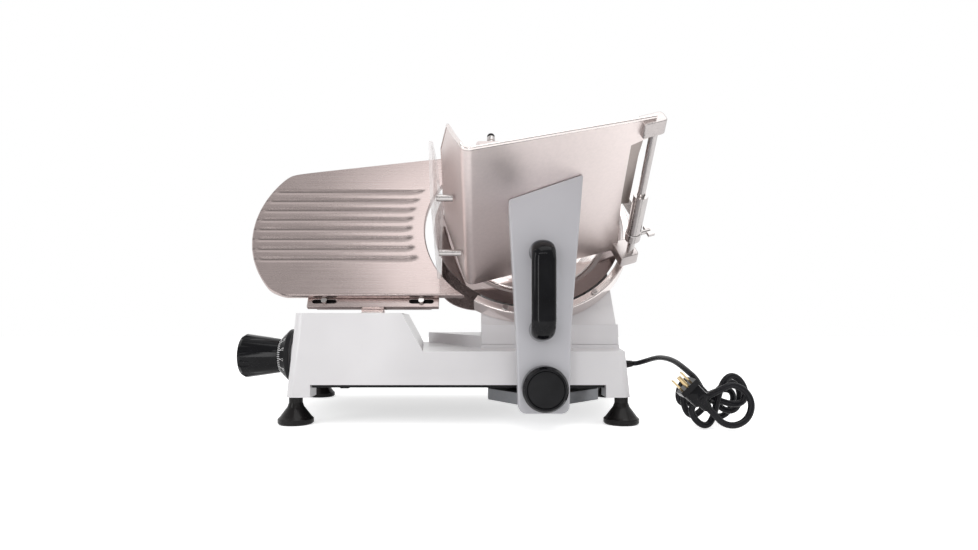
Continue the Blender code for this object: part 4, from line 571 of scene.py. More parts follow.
def mesh_of(name: str, sheets: Sequence[Sheet], merge: float = 1e-6) -> bpy.types.Mesh:
    """One mesh of several grids, with doubles merged and faces pointing outwards.

    Args:
        name: the mesh's name.
        sheets: the grids.
        merge: how near two points are that become one.
    Returns:
        The mesh.
    """
    places = []
    faces: list[list[int]] = []
    for sheet in sheets:
        faces += sheet.faces(sum(len(part) for part in places))
        places.append(sheet.points.reshape(-1, 3))
    mesh = bpy.data.meshes.new(name)
    mesh.from_pydata(np.concatenate(places), [], faces)
    work = bmesh.new()
    work.from_mesh(mesh)
    bmesh.ops.remove_doubles(work, verts=work.verts, dist=merge)
    bmesh.ops.dissolve_degenerate(work, edges=work.edges, dist=merge)
    bmesh.ops.recalc_face_normals(work, faces=work.faces)
    work.to_mesh(mesh)
    work.free()
    return mesh


@dataclass(frozen=True)
class Frame:
    """A right-handed frame: an origin and its three axes in the world."""

    origin: np.ndarray
    axes: np.ndarray

    @staticmethod
    def leaning(origin: Triple, lean: float, turn: float = 0.0) -> "Frame":
        """The blade's frame, or one turned about its outward axis.

        Args:
            origin: where it stands in the world.
            lean: how far it leans back from upright, in degrees.
            turn: angle about the outward axis, in degrees.
        Returns:
            Axes across, up the blade and out towards the operator.
        """
        slope = math.radians(lean)
        across = np.array((1.0, 0.0, 0.0))
        up = np.array((0.0, math.sin(slope), math.cos(slope)))
        out = np.array((0.0, -math.cos(slope), math.sin(slope)))
        angle = math.radians(turn)
        first = across * math.cos(angle) + up * math.sin(angle)
        second = up * math.cos(angle) - across * math.sin(angle)
        return Frame(np.array(origin), np.stack((first, second, out)))

    @staticmethod
    def upright(origin: Triple) -> "Frame":
        """A frame in line with the world."""
        return Frame(np.array(origin), np.eye(3))

    @staticmethod
    def along(origin: Sequence[float], axis: Sequence[float], side: Sequence[float]) -> "Frame":
        """A frame whose third axis is given and whose first is nearest to a side direction.

        Args:
            origin: where it stands.
            axis: its third axis.
            side: a direction near its first axis.
        Returns:
            The frame.
        """
        third = np.array(axis, float) / np.linalg.norm(axis)
        first = np.array(side, float) - third * np.dot(side, third)
        first /= np.linalg.norm(first)
        return Frame(np.array(origin, float), np.stack((first, np.cross(third, first), third)))

    def world(self, points: np.ndarray) -> np.ndarray:
        """Points given in this frame, in world coordinates."""
        return self.origin + points @ self.axes


def turned(frame: Frame, profile: Sequence[tuple[float, float]], steps: int = 96) -> Sheet:
    """A profile of (radius, height) carried round the frame's third axis.

    Point (i, j) is at radius r_i, angle 2 pi j / steps and height h_i.
    """
    radius, height = np.array(profile, float).T
    angle = np.linspace(0.0, 2 * math.pi, steps, endpoint=False)
    across = radius[:, None] * np.cos(angle)
    up = radius[:, None] * np.sin(angle)
    out = np.broadcast_to(height[:, None], across.shape)
    return Sheet(frame.world(np.stack((across, up, out), axis=2)), wrap_columns=True)


def rounded_profile(corners: Sequence[tuple[float, float, float]], steps: int = 6) -> np.ndarray:
    """A polyline whose corners are rounded by arcs.

    Args:
        corners: places in two coordinates, with the fillet radius of each.
        steps: points in each arc.
    Returns:
        The points. Each arc is a quadratic curve between the two tangent points.
    """
    places = np.array([corner[:2] for corner in corners], float)
    made = [places[0]]
    for before, here, after, radius in zip(places, places[1:], places[2:], [c[2] for c in corners[1:-1]]):
        back = before - here
        ahead = after - here
        room = min(np.linalg.norm(back), np.linalg.norm(ahead)) * 0.49
        cosine = np.dot(back, ahead) / np.linalg.norm(back) / np.linalg.norm(ahead)
        half = 0.5 * math.acos(np.clip(cosine, -1, 1))
        reach = min(radius / max(math.tan(half), 1e-6), room)
        start = here + back / np.linalg.norm(back) * reach
        end = here + ahead / np.linalg.norm(ahead) * reach
        share = np.linspace(0.0, 1.0, steps if radius > 0 else 1)[:, None]
        curve = start * (1 - share) ** 2 + here * 2 * share * (1 - share) + end * share ** 2
        made += list(curve if radius > 0 else here[None])
    made.append(places[-1])
    return np.array(made)


def lathe(frame: Frame, corners: Sequence[tuple[float, float, float]], steps: int = 96,
          arc: int = 6) -> Sheet:
    """A turned piece whose profile's corners are rounded: (radius, height, fillet)."""
    return turned(frame, [tuple(point) for point in rounded_profile(corners, arc)], steps)


def closed_outline(corners: Sequence[tuple[float, float, float]], steps: int = 6) -> np.ndarray:
    """A closed outline with rounded corners, without its end repeated."""
    ring = list(corners)
    wrapped = [ring[-1]] + ring + [ring[0]]
    return rounded_profile(wrapped, steps)[1:-1]


def outline_normals(outline: np.ndarray) -> np.ndarray:
    """Unit normals of a closed outline, pointing outwards when it runs anticlockwise."""
    ahead = np.roll(outline, -1, axis=0) - outline
    ahead /= np.linalg.norm(ahead, axis=1, keepdims=True)
    side = np.stack((ahead[:, 1], -ahead[:, 0]), axis=1)
    both = side + np.roll(side, 1, axis=0)
    both /= np.linalg.norm(both, axis=1, keepdims=True)
    share = np.sum(both * side, axis=1, keepdims=True)
    return both / np.clip(share, 0.5, 1.0)


def slab(frame: Frame, outline: np.ndarray, low: float, high: float, edge: float, steps: int = 5) -> Sheet:
    """A flat plate with rounded edges, from low to high along the frame's third axis.

    Row i of the grid is the outline drawn in by edge (1 - sin a_i), at the height where the quarter
    circle of that angle is, first up the low edge and then over the high one.
    """
    angle = np.linspace(0.0, math.pi / 2, steps)
    inset = edge * (1 - np.sin(angle))
    drop = edge * (1 - np.cos(angle))
    inset = np.concatenate((inset, inset[::-1]))
    height = np.concatenate((low + edge - edge * np.cos(angle), (high - edge + edge * np.cos(angle))[::-1]))
    del drop
    normals = outline_normals(outline)
    flat = outline[None] - normals[None] * inset[:, None, None]
    out = np.broadcast_to(height[:, None, None], (*flat.shape[:2], 1))
    return Sheet(frame.world(np.concatenate((flat, out), axis=2)), wrap_columns=True, cap_first=True,
                 cap_last=True)


def tube_along(path: np.ndarray, radius: Union[float, np.ndarray], sides: int = 20,
               caps: bool = True) -> Sheet:
    """A round tube along a path, its section carried without twist.

    Args:
        path: the centre line's points.
        radius: one radius, or one for each point.
        sides: points round the section.
        caps: whether its ends are closed.
    Returns:
        The grid: point (i, j) is path_i + r_i (cos a_j side_i + sin a_j lift_i).
    """
    ahead = np.gradient(path, axis=0)
    ahead /= np.linalg.norm(ahead, axis=1, keepdims=True)
    guide = np.array((0.0, 0.0, 1.0)) if abs(ahead[0, 2]) < 0.9 else np.array((1.0, 0.0, 0.0))
    side = np.zeros_like(path)
    current = np.cross(ahead[0], guide)
    for i, forward in enumerate(ahead):
        current = current - forward * np.dot(current, forward)
        current = current / np.linalg.norm(current)
        side[i] = current
    lift = np.cross(ahead, side)
    angle = np.linspace(0.0, 2 * math.pi, sides, endpoint=False)
    size = np.broadcast_to(np.asarray(radius, float), len(path))[:, None, None]
    ring = np.cos(angle)[None, :, None] * side[:, None] + np.sin(angle)[None, :, None] * lift[:, None]
    return Sheet(path[:, None] + ring * size, wrap_columns=True, cap_first=caps, cap_last=caps)


def swept(path: np.ndarray, across: np.ndarray, half: np.ndarray, power: np.ndarray,
          sides: int = 40) -> Sheet:
    """A superellipse carried along a flat path.

    At each point the section is |x / half width| ^ power + |y / half thickness| ^ power = 1, with x along
    a fixed direction and y square to both it and the path.

    Args:
        path: the centre line's points.
        across: the fixed direction of the section's width.
        half: the half width and half thickness at each point.
        power: the superellipse's power at each point.
        sides: points round the section.
    Returns:
        The surface, closed at both ends.
    """
    along = np.gradient(path, axis=0)
    along /= np.linalg.norm(along, axis=1)[:, None]
    side = np.broadcast_to(np.array(across, float), path.shape)
    square = np.cross(along, side)
    angle = np.linspace(0.0, 2 * math.pi, sides, endpoint=False)[None]
    bend = 2.0 / power[:, None]
    x = np.sign(np.cos(angle)) * np.abs(np.cos(angle)) ** bend * half[:, :1]
    y = np.sign(np.sin(angle)) * np.abs(np.sin(angle)) ** bend * half[:, 1:]
    points = path[:, None] + x[:, :, None] * side[:, None] + y[:, :, None] * square[:, None]
    return Sheet(points, wrap_columns=True, cap_first=True, cap_last=True)


# Placing pieces

@dataclass
class Workshop:
    """Puts each piece in the scene, on its body, in place of the CAD nodes it stands for."""

    nodes: dict[str, bpy.types.Object]
    made: int = 0

    def place(self, mesh: bpy.types.Mesh, finish: bpy.types.Material, slot: str, body: str,
              replaces: Sequence[str] = (), crease: float = 35.0) -> bpy.types.Object:
        """Adds a mesh as a piece.

        Args:
            mesh: the mesh, in world coordinates.
            finish: its material.
            slot: the record's material slot; not used.
            body: the body it rides on.
            replaces: the CAD nodes it stands for.
            crease: the angle in degrees past which an edge shows sharp.
        Returns:
            The piece.
        """
        mesh.materials.clear()
        mesh.materials.append(finish)
        mesh.shade_smooth()
        mesh.set_sharp_from_angle(angle=math.radians(crease))
        piece = bpy.data.objects.new(mesh.name, mesh)
        bpy.context.scene.collection.objects.link(piece)
        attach(piece, body)
        if replaces:
            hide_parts(*replaces)
        self.made += 1
        log.info("%s: %d faces on %s", mesh.name, len(mesh.polygons), body)
        return piece

    def eased(self, node: str, name: str, finish: bpy.types.Material, slot: str, body: str, width: float,
              segments: int = 3, angle: float = 28.0) -> bpy.types.Object:
        """A copy of a CAD node with its edges rounded, in the node's place.

        Args:
            node: the CAD node.
            name: the piece's name.
            finish: its material.
            slot: the record's material slot.
            body: the body it rides on.
            width: the most that the rounding reaches from an edge; the overlap guard may hold it back.
            segments: faces across the rounding.
            angle: edges sharper than this, in degrees, are rounded.
        Returns:
            The piece.
        """
        mesh = self.merged(node, name)
        piece = self.place(mesh, finish, slot, body, [node], angle)
        self.weigh_edges(mesh, width, math.radians(angle))
        bevel = piece.modifiers.new("eased_edges", "BEVEL")
        bevel.width = width
        bevel.segments = segments
        bevel.limit_method = "WEIGHT"
        bevel.use_clamp_overlap = True
        bevel.harden_normals = False
        return piece

    def merged(self, node: str, name: str) -> bpy.types.Mesh:
        """A copy of a CAD node's mesh with its points joined and its flat faces whole."""
        mesh = self.nodes[node].data.copy()
        mesh.name = name
        work = bmesh.new()
        work.from_mesh(mesh)
        bmesh.ops.remove_doubles(work, verts=work.verts, dist=1e-6)
        bmesh.ops.dissolve_limit(work, angle_limit=math.radians(1.0), verts=work.verts, edges=work.edges)
        bmesh.ops.recalc_face_normals(work, faces=work.faces)
        work.to_mesh(mesh)
        work.free()
        if mesh.has_custom_normals:
            mesh.attributes.remove(mesh.attributes["custom_normal"])
        return mesh

    @staticmethod
    def weigh_edges(mesh: bpy.types.Mesh, width: float, angle: float) -> None:
        """Marks the edges to round: those that turn by more than an angle and are long beside the rounding.

        Args:
            mesh: the mesh.
            width: how far the rounding reaches.
            angle: the least turn between an edge's two faces, in radians.
        """
        work = bmesh.new()
        work.from_mesh(mesh)
        layer = work.edges.layers.float.new("bevel_weight_edge")
        for edge in work.edges:
            if len(edge.link_faces) == 2 and edge.calc_face_angle(0.0) > angle:
                edge[layer] = 1.0 if edge.calc_length() > 1.2 * width else 0.0
        work.to_mesh(mesh)
        work.free()

    def finish(self, node: str, finish: bpy.types.Material) -> None:
        """Gives a CAD node that stays in view a better material."""
        slots = self.nodes[node].material_slots
        for slot in slots:
            slot.material = finish
        log.info("%s keeps its CAD solid as %s", node, finish.name)


# Sub-assemblies

def stack(*columns: Union[np.ndarray, float]) -> np.ndarray:
    """Joins arrays or numbers of one shape as the last axis of an array of points."""
    wide = np.broadcast_arrays(*[np.asarray(column, float) for column in columns])
    return np.stack(wide, axis=-1)


@dataclass
class Base:
    """The painted base with its cover plate, feet, switches and cord relief."""

    shop: Workshop
    look: Palette
    foot_top: float = 31.2 * MM
    foot_rim: float = 20.0 * MM
    foot_neck: float = 7.7 * MM
    # The overlap guard in eased() holds the casting's rounding back to under 1 mm.
    casting_ease: float = 5.0 * MM

    def casting(self) -> None:
        """The base casting and the plate under it, with soft edges."""
        self.shop.eased("base_casting", "base_shell", self.look.paint, "white_paint", "base",
                        self.casting_ease, 4)
        self.shop.eased("bottom_cover", "under_plate", self.look.satin, "steel_sheet", "base", 0.6 * MM, 2)

    def feet(self) -> None:
        """Four feet: a neck that flares to a rim with a chamfer and a groove over it."""
        rim = self.foot_rim
        neck = self.foot_neck
        corners = [
            (0.0, 0.0, 0.0), (rim - 1.6 * MM, 0.0, 0.4 * MM), (rim - 0.8 * MM, 1.2 * MM, 0.5 * MM),
            (rim, 1.6 * MM, 0.4 * MM), (rim, 6.2 * MM, 1.2 * MM), (rim - 2.4 * MM, 8.4 * MM, 1.0 * MM),
            (neck + 1.6 * MM, 19.5 * MM, 5.0 * MM), (neck, 24.0 * MM, 3.0 * MM),
            (neck, self.foot_top, 0.5 * MM), (0.0, self.foot_top, 0.0),
        ]
        for row in ("front", "back"):
            for side in ("left", "right"):
                node = f"foot_{row}_{side}"
                low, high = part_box(node)
                frame = Frame.upright(((low.x + high.x) / 2, (low.y + high.y) / 2, 0.0))
                mesh = mesh_of(f"rubber_{node}", [lathe(frame, corners, 64)])
                self.shop.place(mesh, self.look.rubber, "foot_rubber", "base", [node])

    def switches(self) -> None:
        """The switch plate, and its two buttons."""
        self.shop.eased("switch_panel", "switch_plate", self.look.satin, "black_plastic", "base", 0.8 * MM, 3)
        self.shop.eased("on_button", "start_button", self.look.green, "green_plastic", "on_button",
                        1.0 * MM, 3)
        self.shop.eased("off_button", "stop_button", self.look.red, "red_plastic", "off_button",
                        1.0 * MM, 3)

    def build(self) -> None:
        """Makes every piece of the base."""
        self.casting()
        self.feet()
        self.switches()


@dataclass
class Tower:
    """The housing behind the blade with what is in it and on its back."""

    shop: Workshop
    look: Palette

    def build(self) -> None:
        """Makes the housing's pieces and dresses the drive inside."""
        self.shop.eased("blade_housing", "tower_shell", self.look.paint, "white_paint", "base", 3.0 * MM, 4)
        self.shop.eased("housing_back_cover", "back_plate", self.look.paint, "white_paint", "base",
                        1.0 * MM, 3)
        self.shop.eased("slice_deflector", "slice_chute", self.look.plate, "steel_sheet", "base", 0.4 * MM, 2)
        self.shop.finish("motor", self.look.cast)
        self.shop.finish("motor_pulley", self.look.steel)
        self.shop.finish("drive_belt", self.look.satin)
        self.shop.finish("shaft_bearing", self.look.steel)
        self.shop.finish("blade_shaft", self.look.steel)
        self.shop.finish("blade_pulley", self.look.cast)


@dataclass
class BladeSet:
    """The blade, its cover disc, the ring guard round it and their bolts and knob."""

    shop: Workshop
    look: Palette
    frame: Frame
    blade_radius: float = 125.0 * MM
    bevel_width: float = 18.0 * MM
    dish: float = 4.0 * MM
    thickness: float = 3.0 * MM
    bore: float = 16.0 * MM
    cover_radius: float = 100.0 * MM
    ring_inner: float = 128.0 * MM
    ring_outer: float = 138.0 * MM
    ring_back: float = -22.0 * MM
    ring_front: float = 1.0 * MM
    ring_start: float = -121.0
    ring_end: float = 125.0

    def blade(self) -> None:
        """The blade: a dished disc with a ground bevel that ends in a thin edge."""
        back = -self.dish - self.thickness
        ground = self.blade_radius - self.bevel_width
        corners = [
            (self.bore, -self.dish, 0.0), (self.cover_radius + 2 * MM, -self.dish, 0.5 * MM),
            (ground, -self.dish / 2, 0.6 * MM), (ground + 0.8 * MM, -self.dish / 2 + 0.05 * MM, 0.1 * MM),
            (self.blade_radius, 0.0, 0.1 * MM), (self.blade_radius, -0.6 * MM, 0.1 * MM),
            (ground + 8 * MM, back, 0.5 * MM), (33 * MM, back, 0.2 * MM),
            (31 * MM, back - self.thickness, 0.2 * MM), (self.bore, back - self.thickness, 0.0),
            (self.bore, -self.dish, 0.0),
        ]
        mesh = mesh_of("round_blade", [lathe(self.frame, corners, 160)])
        self.shop.place(mesh, self.look.blade, "blade_steel", "blade", ["slicing_blade"], 20.0)

    def cover(self) -> None:
        """The domed disc over the blade's middle, with a rolled rim and a shallow ring pressed in it."""
        low = -self.dish + 0.3 * MM
        wide = self.cover_radius
        corners = [
            (0.0, low + 5 * MM, 0.0), (wide * 0.3, low + 4.9 * MM, 3 * MM),
            (wide * 0.6, low + 4.25 * MM, 3 * MM),
            (wide * 0.86, low + 3.0 * MM, 1 * MM), (wide * 0.9, low + 2.3 * MM, 0.6 * MM),
            (wide - 1.5 * MM, low + 1.6 * MM, 0.6 * MM), (wide, low + 1 * MM, 0.4 * MM),
            (wide, low, 0.1 * MM), (8 * MM, low, 0.1 * MM), (8 * MM, low - 1 * MM, 0.1 * MM),
            (0.0, low - 1 * MM, 0.0),
        ]
        mesh = mesh_of("cover_plate", [lathe(self.frame, corners, 128)])
        self.shop.place(mesh, self.look.ring, "polished_aluminium", "base", ["blade_cover_disc"])

    def ring(self) -> None:
        """The ring guard: a rounded wall carried along an arc that is open at the gauge plate."""
        section = closed_outline([
            (self.ring_inner, self.ring_back, 1 * MM), (self.ring_outer, self.ring_back, 1.5 * MM),
            (self.ring_outer, self.ring_front, 2.2 * MM), (self.ring_inner, self.ring_front, 1.2 * MM),
        ], 6)
        angle = np.radians(np.linspace(self.ring_start, self.ring_end, 140))
        radius = section[:, 0]
        local = stack(np.cos(angle)[:, None] * radius, np.sin(angle)[:, None] * radius, section[:, 1][None])
        sheet = Sheet(self.frame.world(local), wrap_columns=True, cap_first=True, cap_last=True)
        self.shop.place(mesh_of("guard_ring", [sheet]), self.look.ring, "polished_aluminium", "base",
                        ["ring_guard"])

    def fixings(self) -> None:
        """The two ring bolts with rounded heads, and the knob behind that holds the cover disc."""
        for side in ("left", "right"):
            node = f"ring_bolt_{side}"
            self.shop.eased(node, f"guard_bolt_{side}", self.look.steel, "machined_steel", "base",
                            0.5 * MM, 2)
        self.shop.eased("cover_knob", "cover_screw_knob", self.look.black, "black_plastic", "cover_knob",
                        1.2 * MM, 3)

    def build(self) -> None:
        """Makes every piece of the blade set."""
        self.blade()
        self.cover()
        self.ring()
        self.fixings()


@dataclass
class Gauge:
    """The grooved gauge plate with its bracket, bolts and post."""

    shop: Workshop
    look: Palette
    frame: Frame
    thickness: float = 8.0 * MM
    arc_centre: tuple[float, float] = (-222.0 * MM, -2.0 * MM)
    arc_radius: float = 146.0 * MM
    top_left: float = 92.5 * MM
    top_middle: tuple[float, float] = (-136.0 * MM, 121.6 * MM)
    top_right: tuple[float, float] = (-95.0 * MM, 125.0 * MM)
    bottom: float = -109.5 * MM
    blade_reach: float = 137.5 * MM
    groove_count: int = 8
    groove_pitch: float = 16.4 * MM
    groove_top: float = 60.7 * MM
    groove_depth: float = 1.3 * MM
    groove_end: float = 152.0 * MM
    groove_hook: float = 3.0 * MM
    corner: float = 14.0 * MM
    slot_middles: tuple[float, float] = (-260.0 * MM, -137.5 * MM)
    # The black strips behind the bracket's two slots, which paint the shade inside them.
    slot_shade_half: float = 19 * MM
    slot_shade_span: tuple[float, float] = (-118.5 * MM, -109.8 * MM)
    slot_shade_depths: tuple[float, float] = (8.2 * MM, 6.4 * MM)

    def left_edge(self, up: np.ndarray) -> np.ndarray:
        """Where the plate's left edge is at a height.

        A circle meets the top edge's slope in a rounded corner, the greater of the two made smooth, and
        ends below in a rounded foot.
        """
        reach = np.sqrt(np.maximum(self.arc_radius ** 2 - (up - self.arc_centre[1]) ** 2, 0.0))
        left = self.arc_centre[0] - reach
        limit = self.bottom + self.corner
        low = self.arc_centre[0] - math.sqrt(self.arc_radius ** 2 - (limit - self.arc_centre[1]) ** 2)
        drop = np.clip((limit - up) / self.corner, 0.0, 1.0)
        foot = low + 0.75 * (limit - up) + self.corner * 1.6 * (1 - np.sqrt(1 - drop ** 2))
        top = self.arc_centre[0] - math.sqrt(self.arc_radius ** 2 - (self.top_left - self.arc_centre[1]) ** 2)
        rise = (up - self.top_left) / (self.top_middle[1] - self.top_left)
        slope = top + rise * (self.top_middle[0] - top)
        round_by = np.sqrt((left - slope) ** 2 + (1.2 * self.corner) ** 2)
        joined = 0.5 * (left + slope + round_by)
        return np.where(up < limit, foot, joined)

    def right_edge(self, up: np.ndarray) -> np.ndarray:
        """Where the hollow right edge is at a height: a circle round the blade."""
        return -np.sqrt(np.maximum(self.blade_reach ** 2 - up ** 2, (0.6 * self.blade_reach) ** 2))

    def ripple(self, across: np.ndarray, up: np.ndarray) -> np.ndarray:
        """Depth of the grooves: a sharpened cosine across them that fades at both their ends.

        Args:
            across: places along the grooves.
            up: places across them.
        Returns:
            How far the face lies behind the plate's front plane.
        """
        last = self.groove_top - (self.groove_count - 1) * self.groove_pitch
        hook = 1 - self.ease(np.hypot(across, up), self.groove_end, self.groove_end + 26 * MM)
        up = up - self.groove_hook * hook ** 2
        phase = (up - self.groove_top) / self.groove_pitch
        wave = (0.5 + 0.5 * np.cos(2 * math.pi * phase)) ** 2.4
        inside = self.ease(up, last - 0.5 * self.groove_pitch, last - 0.2 * self.groove_pitch)
        inside = inside * (1 - self.ease(up, self.groove_top + 0.2 * self.groove_pitch,
                                         self.groove_top + 0.5 * self.groove_pitch))
        right = self.ease(np.hypot(across, up), self.groove_end, self.groove_end + 12 * MM)
        left = self.ease(across - self.left_edge(up), 1 * MM, 12 * MM)
        return self.groove_depth * wave * inside * right * left

    @staticmethod
    def ease(value: np.ndarray, low: float, high: float) -> np.ndarray:
        """Rises smoothly from 0 at low to 1 at high."""
        share = np.clip((value - low) / (high - low), 0.0, 1.0)
        return share * share * (3 - 2 * share)

    def plate(self) -> None:
        """The plate: rows of points from its left edge to its right one, front and back, with round edges."""
        edge = 1.6 * MM
        share = np.linspace(0.0, 1.0, 150)
        top = self.top_right[1]
        up = self.bottom + (top - self.bottom) * np.linspace(0.0, 1.0, 190)
        up = np.unique(np.concatenate((up, [self.bottom + edge * 0.3, top - edge * 0.3, self.top_left])))
        grid_up = up[:, None] + 0 * share[None]
        left = self.left_edge(up)[:, None]
        right = self.right_edge(up)[:, None]
        right = np.where(up[:, None] > self.top_middle[1], self.top_right[0] + 0 * right, right)
        across = left + (right - left) * share[None]
        border = np.minimum.reduce([
            (across - left) + 0.001 * MM, (right - across) + 0.001 * MM,
            grid_up - self.bottom + 0.001 * MM, top - grid_up + 0.001 * MM])
        lean = np.clip(1 - border / edge, 0.0, 1.0)
        fall = edge * (1 - np.sqrt(1 - lean ** 2))
        front = -fall - self.ripple(across, grid_up)
        back = -self.thickness + fall
        face = self.frame.world(stack(across, grid_up, front))
        rear = self.frame.world(stack(across, grid_up, back))
        rims = []
        for rim_front, rim_back in ((face[:, 0], rear[:, 0]), (face[:, -1], rear[:, -1]),
                                    (face[0], rear[0]), (face[-1], rear[-1])):
            rims.append(Sheet(np.stack((rim_front, rim_back))))
        mesh = mesh_of("grooved_plate", [Sheet(face), Sheet(rear)] + rims)
        # The plate's material paints shade as a dark line in each groove valley.
        self.shop.place(mesh, self.look.grooved, "polished_aluminium", "gauge", ["gauge_plate"], 40.0)

    def bracket(self) -> None:
        """The bracket under the plate, and a black strip behind its two slots: painted shade, standing in for
        the shade inside them.
        """
        self.shop.eased("gauge_bracket", "plate_bracket", self.look.plate, "polished_aluminium", "gauge",
                        0.8 * MM, 3)
        low, high = self.slot_shade_span
        far, near = (-self.thickness - depth for depth in self.slot_shade_depths)
        # Painted shade: a black strip behind each slot stands in for the shade inside it.
        for side, middle in zip(("left", "right"), self.slot_middles):
            left = middle - self.slot_shade_half
            right = middle + self.slot_shade_half
            outline = closed_outline([(left, low, 2 * MM), (right, low, 2 * MM),
                                      (right, high, 2 * MM), (left, high, 2 * MM)], 3)
            mesh = mesh_of(f"slot_shade_strip_{side}", [slab(self.frame, outline, far, near, 0.4 * MM)])
            self.shop.place(mesh, self.look.satin, "black_plastic", "gauge")

    def build(self) -> None:
        """Makes every piece of the gauge."""
        self.plate()
        self.bracket()
        for side in ("left", "right"):
            self.shop.eased(f"gauge_bolt_{side}", f"bracket_bolt_{side}", self.look.steel, "machined_steel",
                            "gauge", 0.6 * MM, 3)
        self.shop.eased("gauge_post", "plate_post", self.look.ring, "polished_aluminium", "gauge",
                        0.8 * MM, 3)
        self.shop.finish("gauge_slide_rod", self.look.steel)


@dataclass
class Dial:
    """The thickness knob: a fluted grip, and a dial with white ticks and numbers on its cone."""

    shop: Workshop
    look: Palette
    rim_width: float = 5.0 * MM
    rim_radius: float = 33.5 * MM
    cone_radius: float = 21.0 * MM
    ticks: int = 60
    numbers: int = 16
    digit_height: float = 4.4 * MM

    def cone(self, slant: np.ndarray, angle: np.ndarray, lift: float) -> np.ndarray:
        """Places on the dial's cone, lifted a little off it.

        Args:
            slant: the share of the way from the wide rim to the narrow end.
            angle: the angle round the dial, in radians.
            lift: how far off the cone.
        Returns:
            Points in the world.
        """
        low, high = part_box("thickness_dial")
        wide = high.x - self.rim_width
        run = np.array([low.x - wide, self.cone_radius - self.rim_radius])
        normal = np.array([run[1], -run[0]]) / np.linalg.norm(run)
        along = wide + run[0] * slant + normal[0] * lift
        radius = self.rim_radius + run[1] * slant + normal[1] * lift
        middle = ((low.y + high.y) / 2, (low.z + high.z) / 2)
        return stack(along, middle[0] + radius * np.sin(angle), middle[1] + radius * np.cos(angle))

    def marks(self) -> None:
        """The ticks, thin raised strips that stand out from the narrow end, longer at each fourth."""
        sheets = []
        for i in range(self.ticks):
            angle = 2 * math.pi * i / self.ticks
            half = 0.0135
            start = 0.42 if i % 4 == 0 else 0.66
            slant = np.linspace(start, 0.96, 4)[:, None]
            rows = []
            for lift in (0.02 * MM, 0.09 * MM):
                rows.append(self.cone(slant, angle + np.array([-half, half])[None], lift))
            loop = np.concatenate((rows[0], rows[1][:, ::-1]), axis=1)
            sheets.append(Sheet(loop, wrap_columns=True, cap_first=True, cap_last=True))
        self.shop.place(mesh_of("dial_ticks", sheets), self.look.white, "black_plastic", "thickness")

    def digits(self) -> None:
        """The dial's numbers from 0 up, each outline laid round the cone's wide part."""
        work = bmesh.new()
        for i in range(self.numbers):
            text = bpy.data.curves.new(f"number_{i}", "FONT")
            text.body = str(i)
            text.align_x = "CENTER"
            text.align_y = "CENTER"
            text.extrude = 0.01
            holder = bpy.data.objects.new(f"number_{i}", text)
            flat = bpy.data.meshes.new_from_object(holder)
            points = np.empty(len(flat.vertices) * 3)
            flat.vertices.foreach_get("co", points)
            points = points.reshape(-1, 3)
            slant = 0.24 - points[:, 1] * 0.30
            turn = 2 * math.pi * i * 4 / self.ticks
            angle = turn + points[:, 0] * self.digit_height / (self.rim_radius * 0.92)
            places = self.cone(slant, angle, (points[:, 2] + 0.012) * 4 * MM)
            flat.vertices.foreach_set("co", places.ravel())
            work.from_mesh(flat)
            bpy.data.objects.remove(holder)
            bpy.data.curves.remove(text)
            bpy.data.meshes.remove(flat)
        bmesh.ops.remove_doubles(work, verts=work.verts, dist=1e-7)
        bmesh.ops.recalc_face_normals(work, faces=work.faces)
        mesh = bpy.data.meshes.new("dial_numbers")
        work.to_mesh(mesh)
        work.free()
        self.shop.place(mesh, self.look.white, "black_plastic", "thickness")

    def build(self) -> None:
        """Makes the grip, the dial and its marks."""
        self.shop.eased("thickness_knob", "fluted_grip", self.look.black, "black_plastic", "thickness",
                        1.6 * MM, 4)
        self.shop.eased("thickness_dial", "marked_dial", self.look.satin, "black_plastic", "thickness",
                        0.6 * MM, 3)
        self.marks()
        self.digits()
        self.shop.finish("index_spindle", self.look.steel)


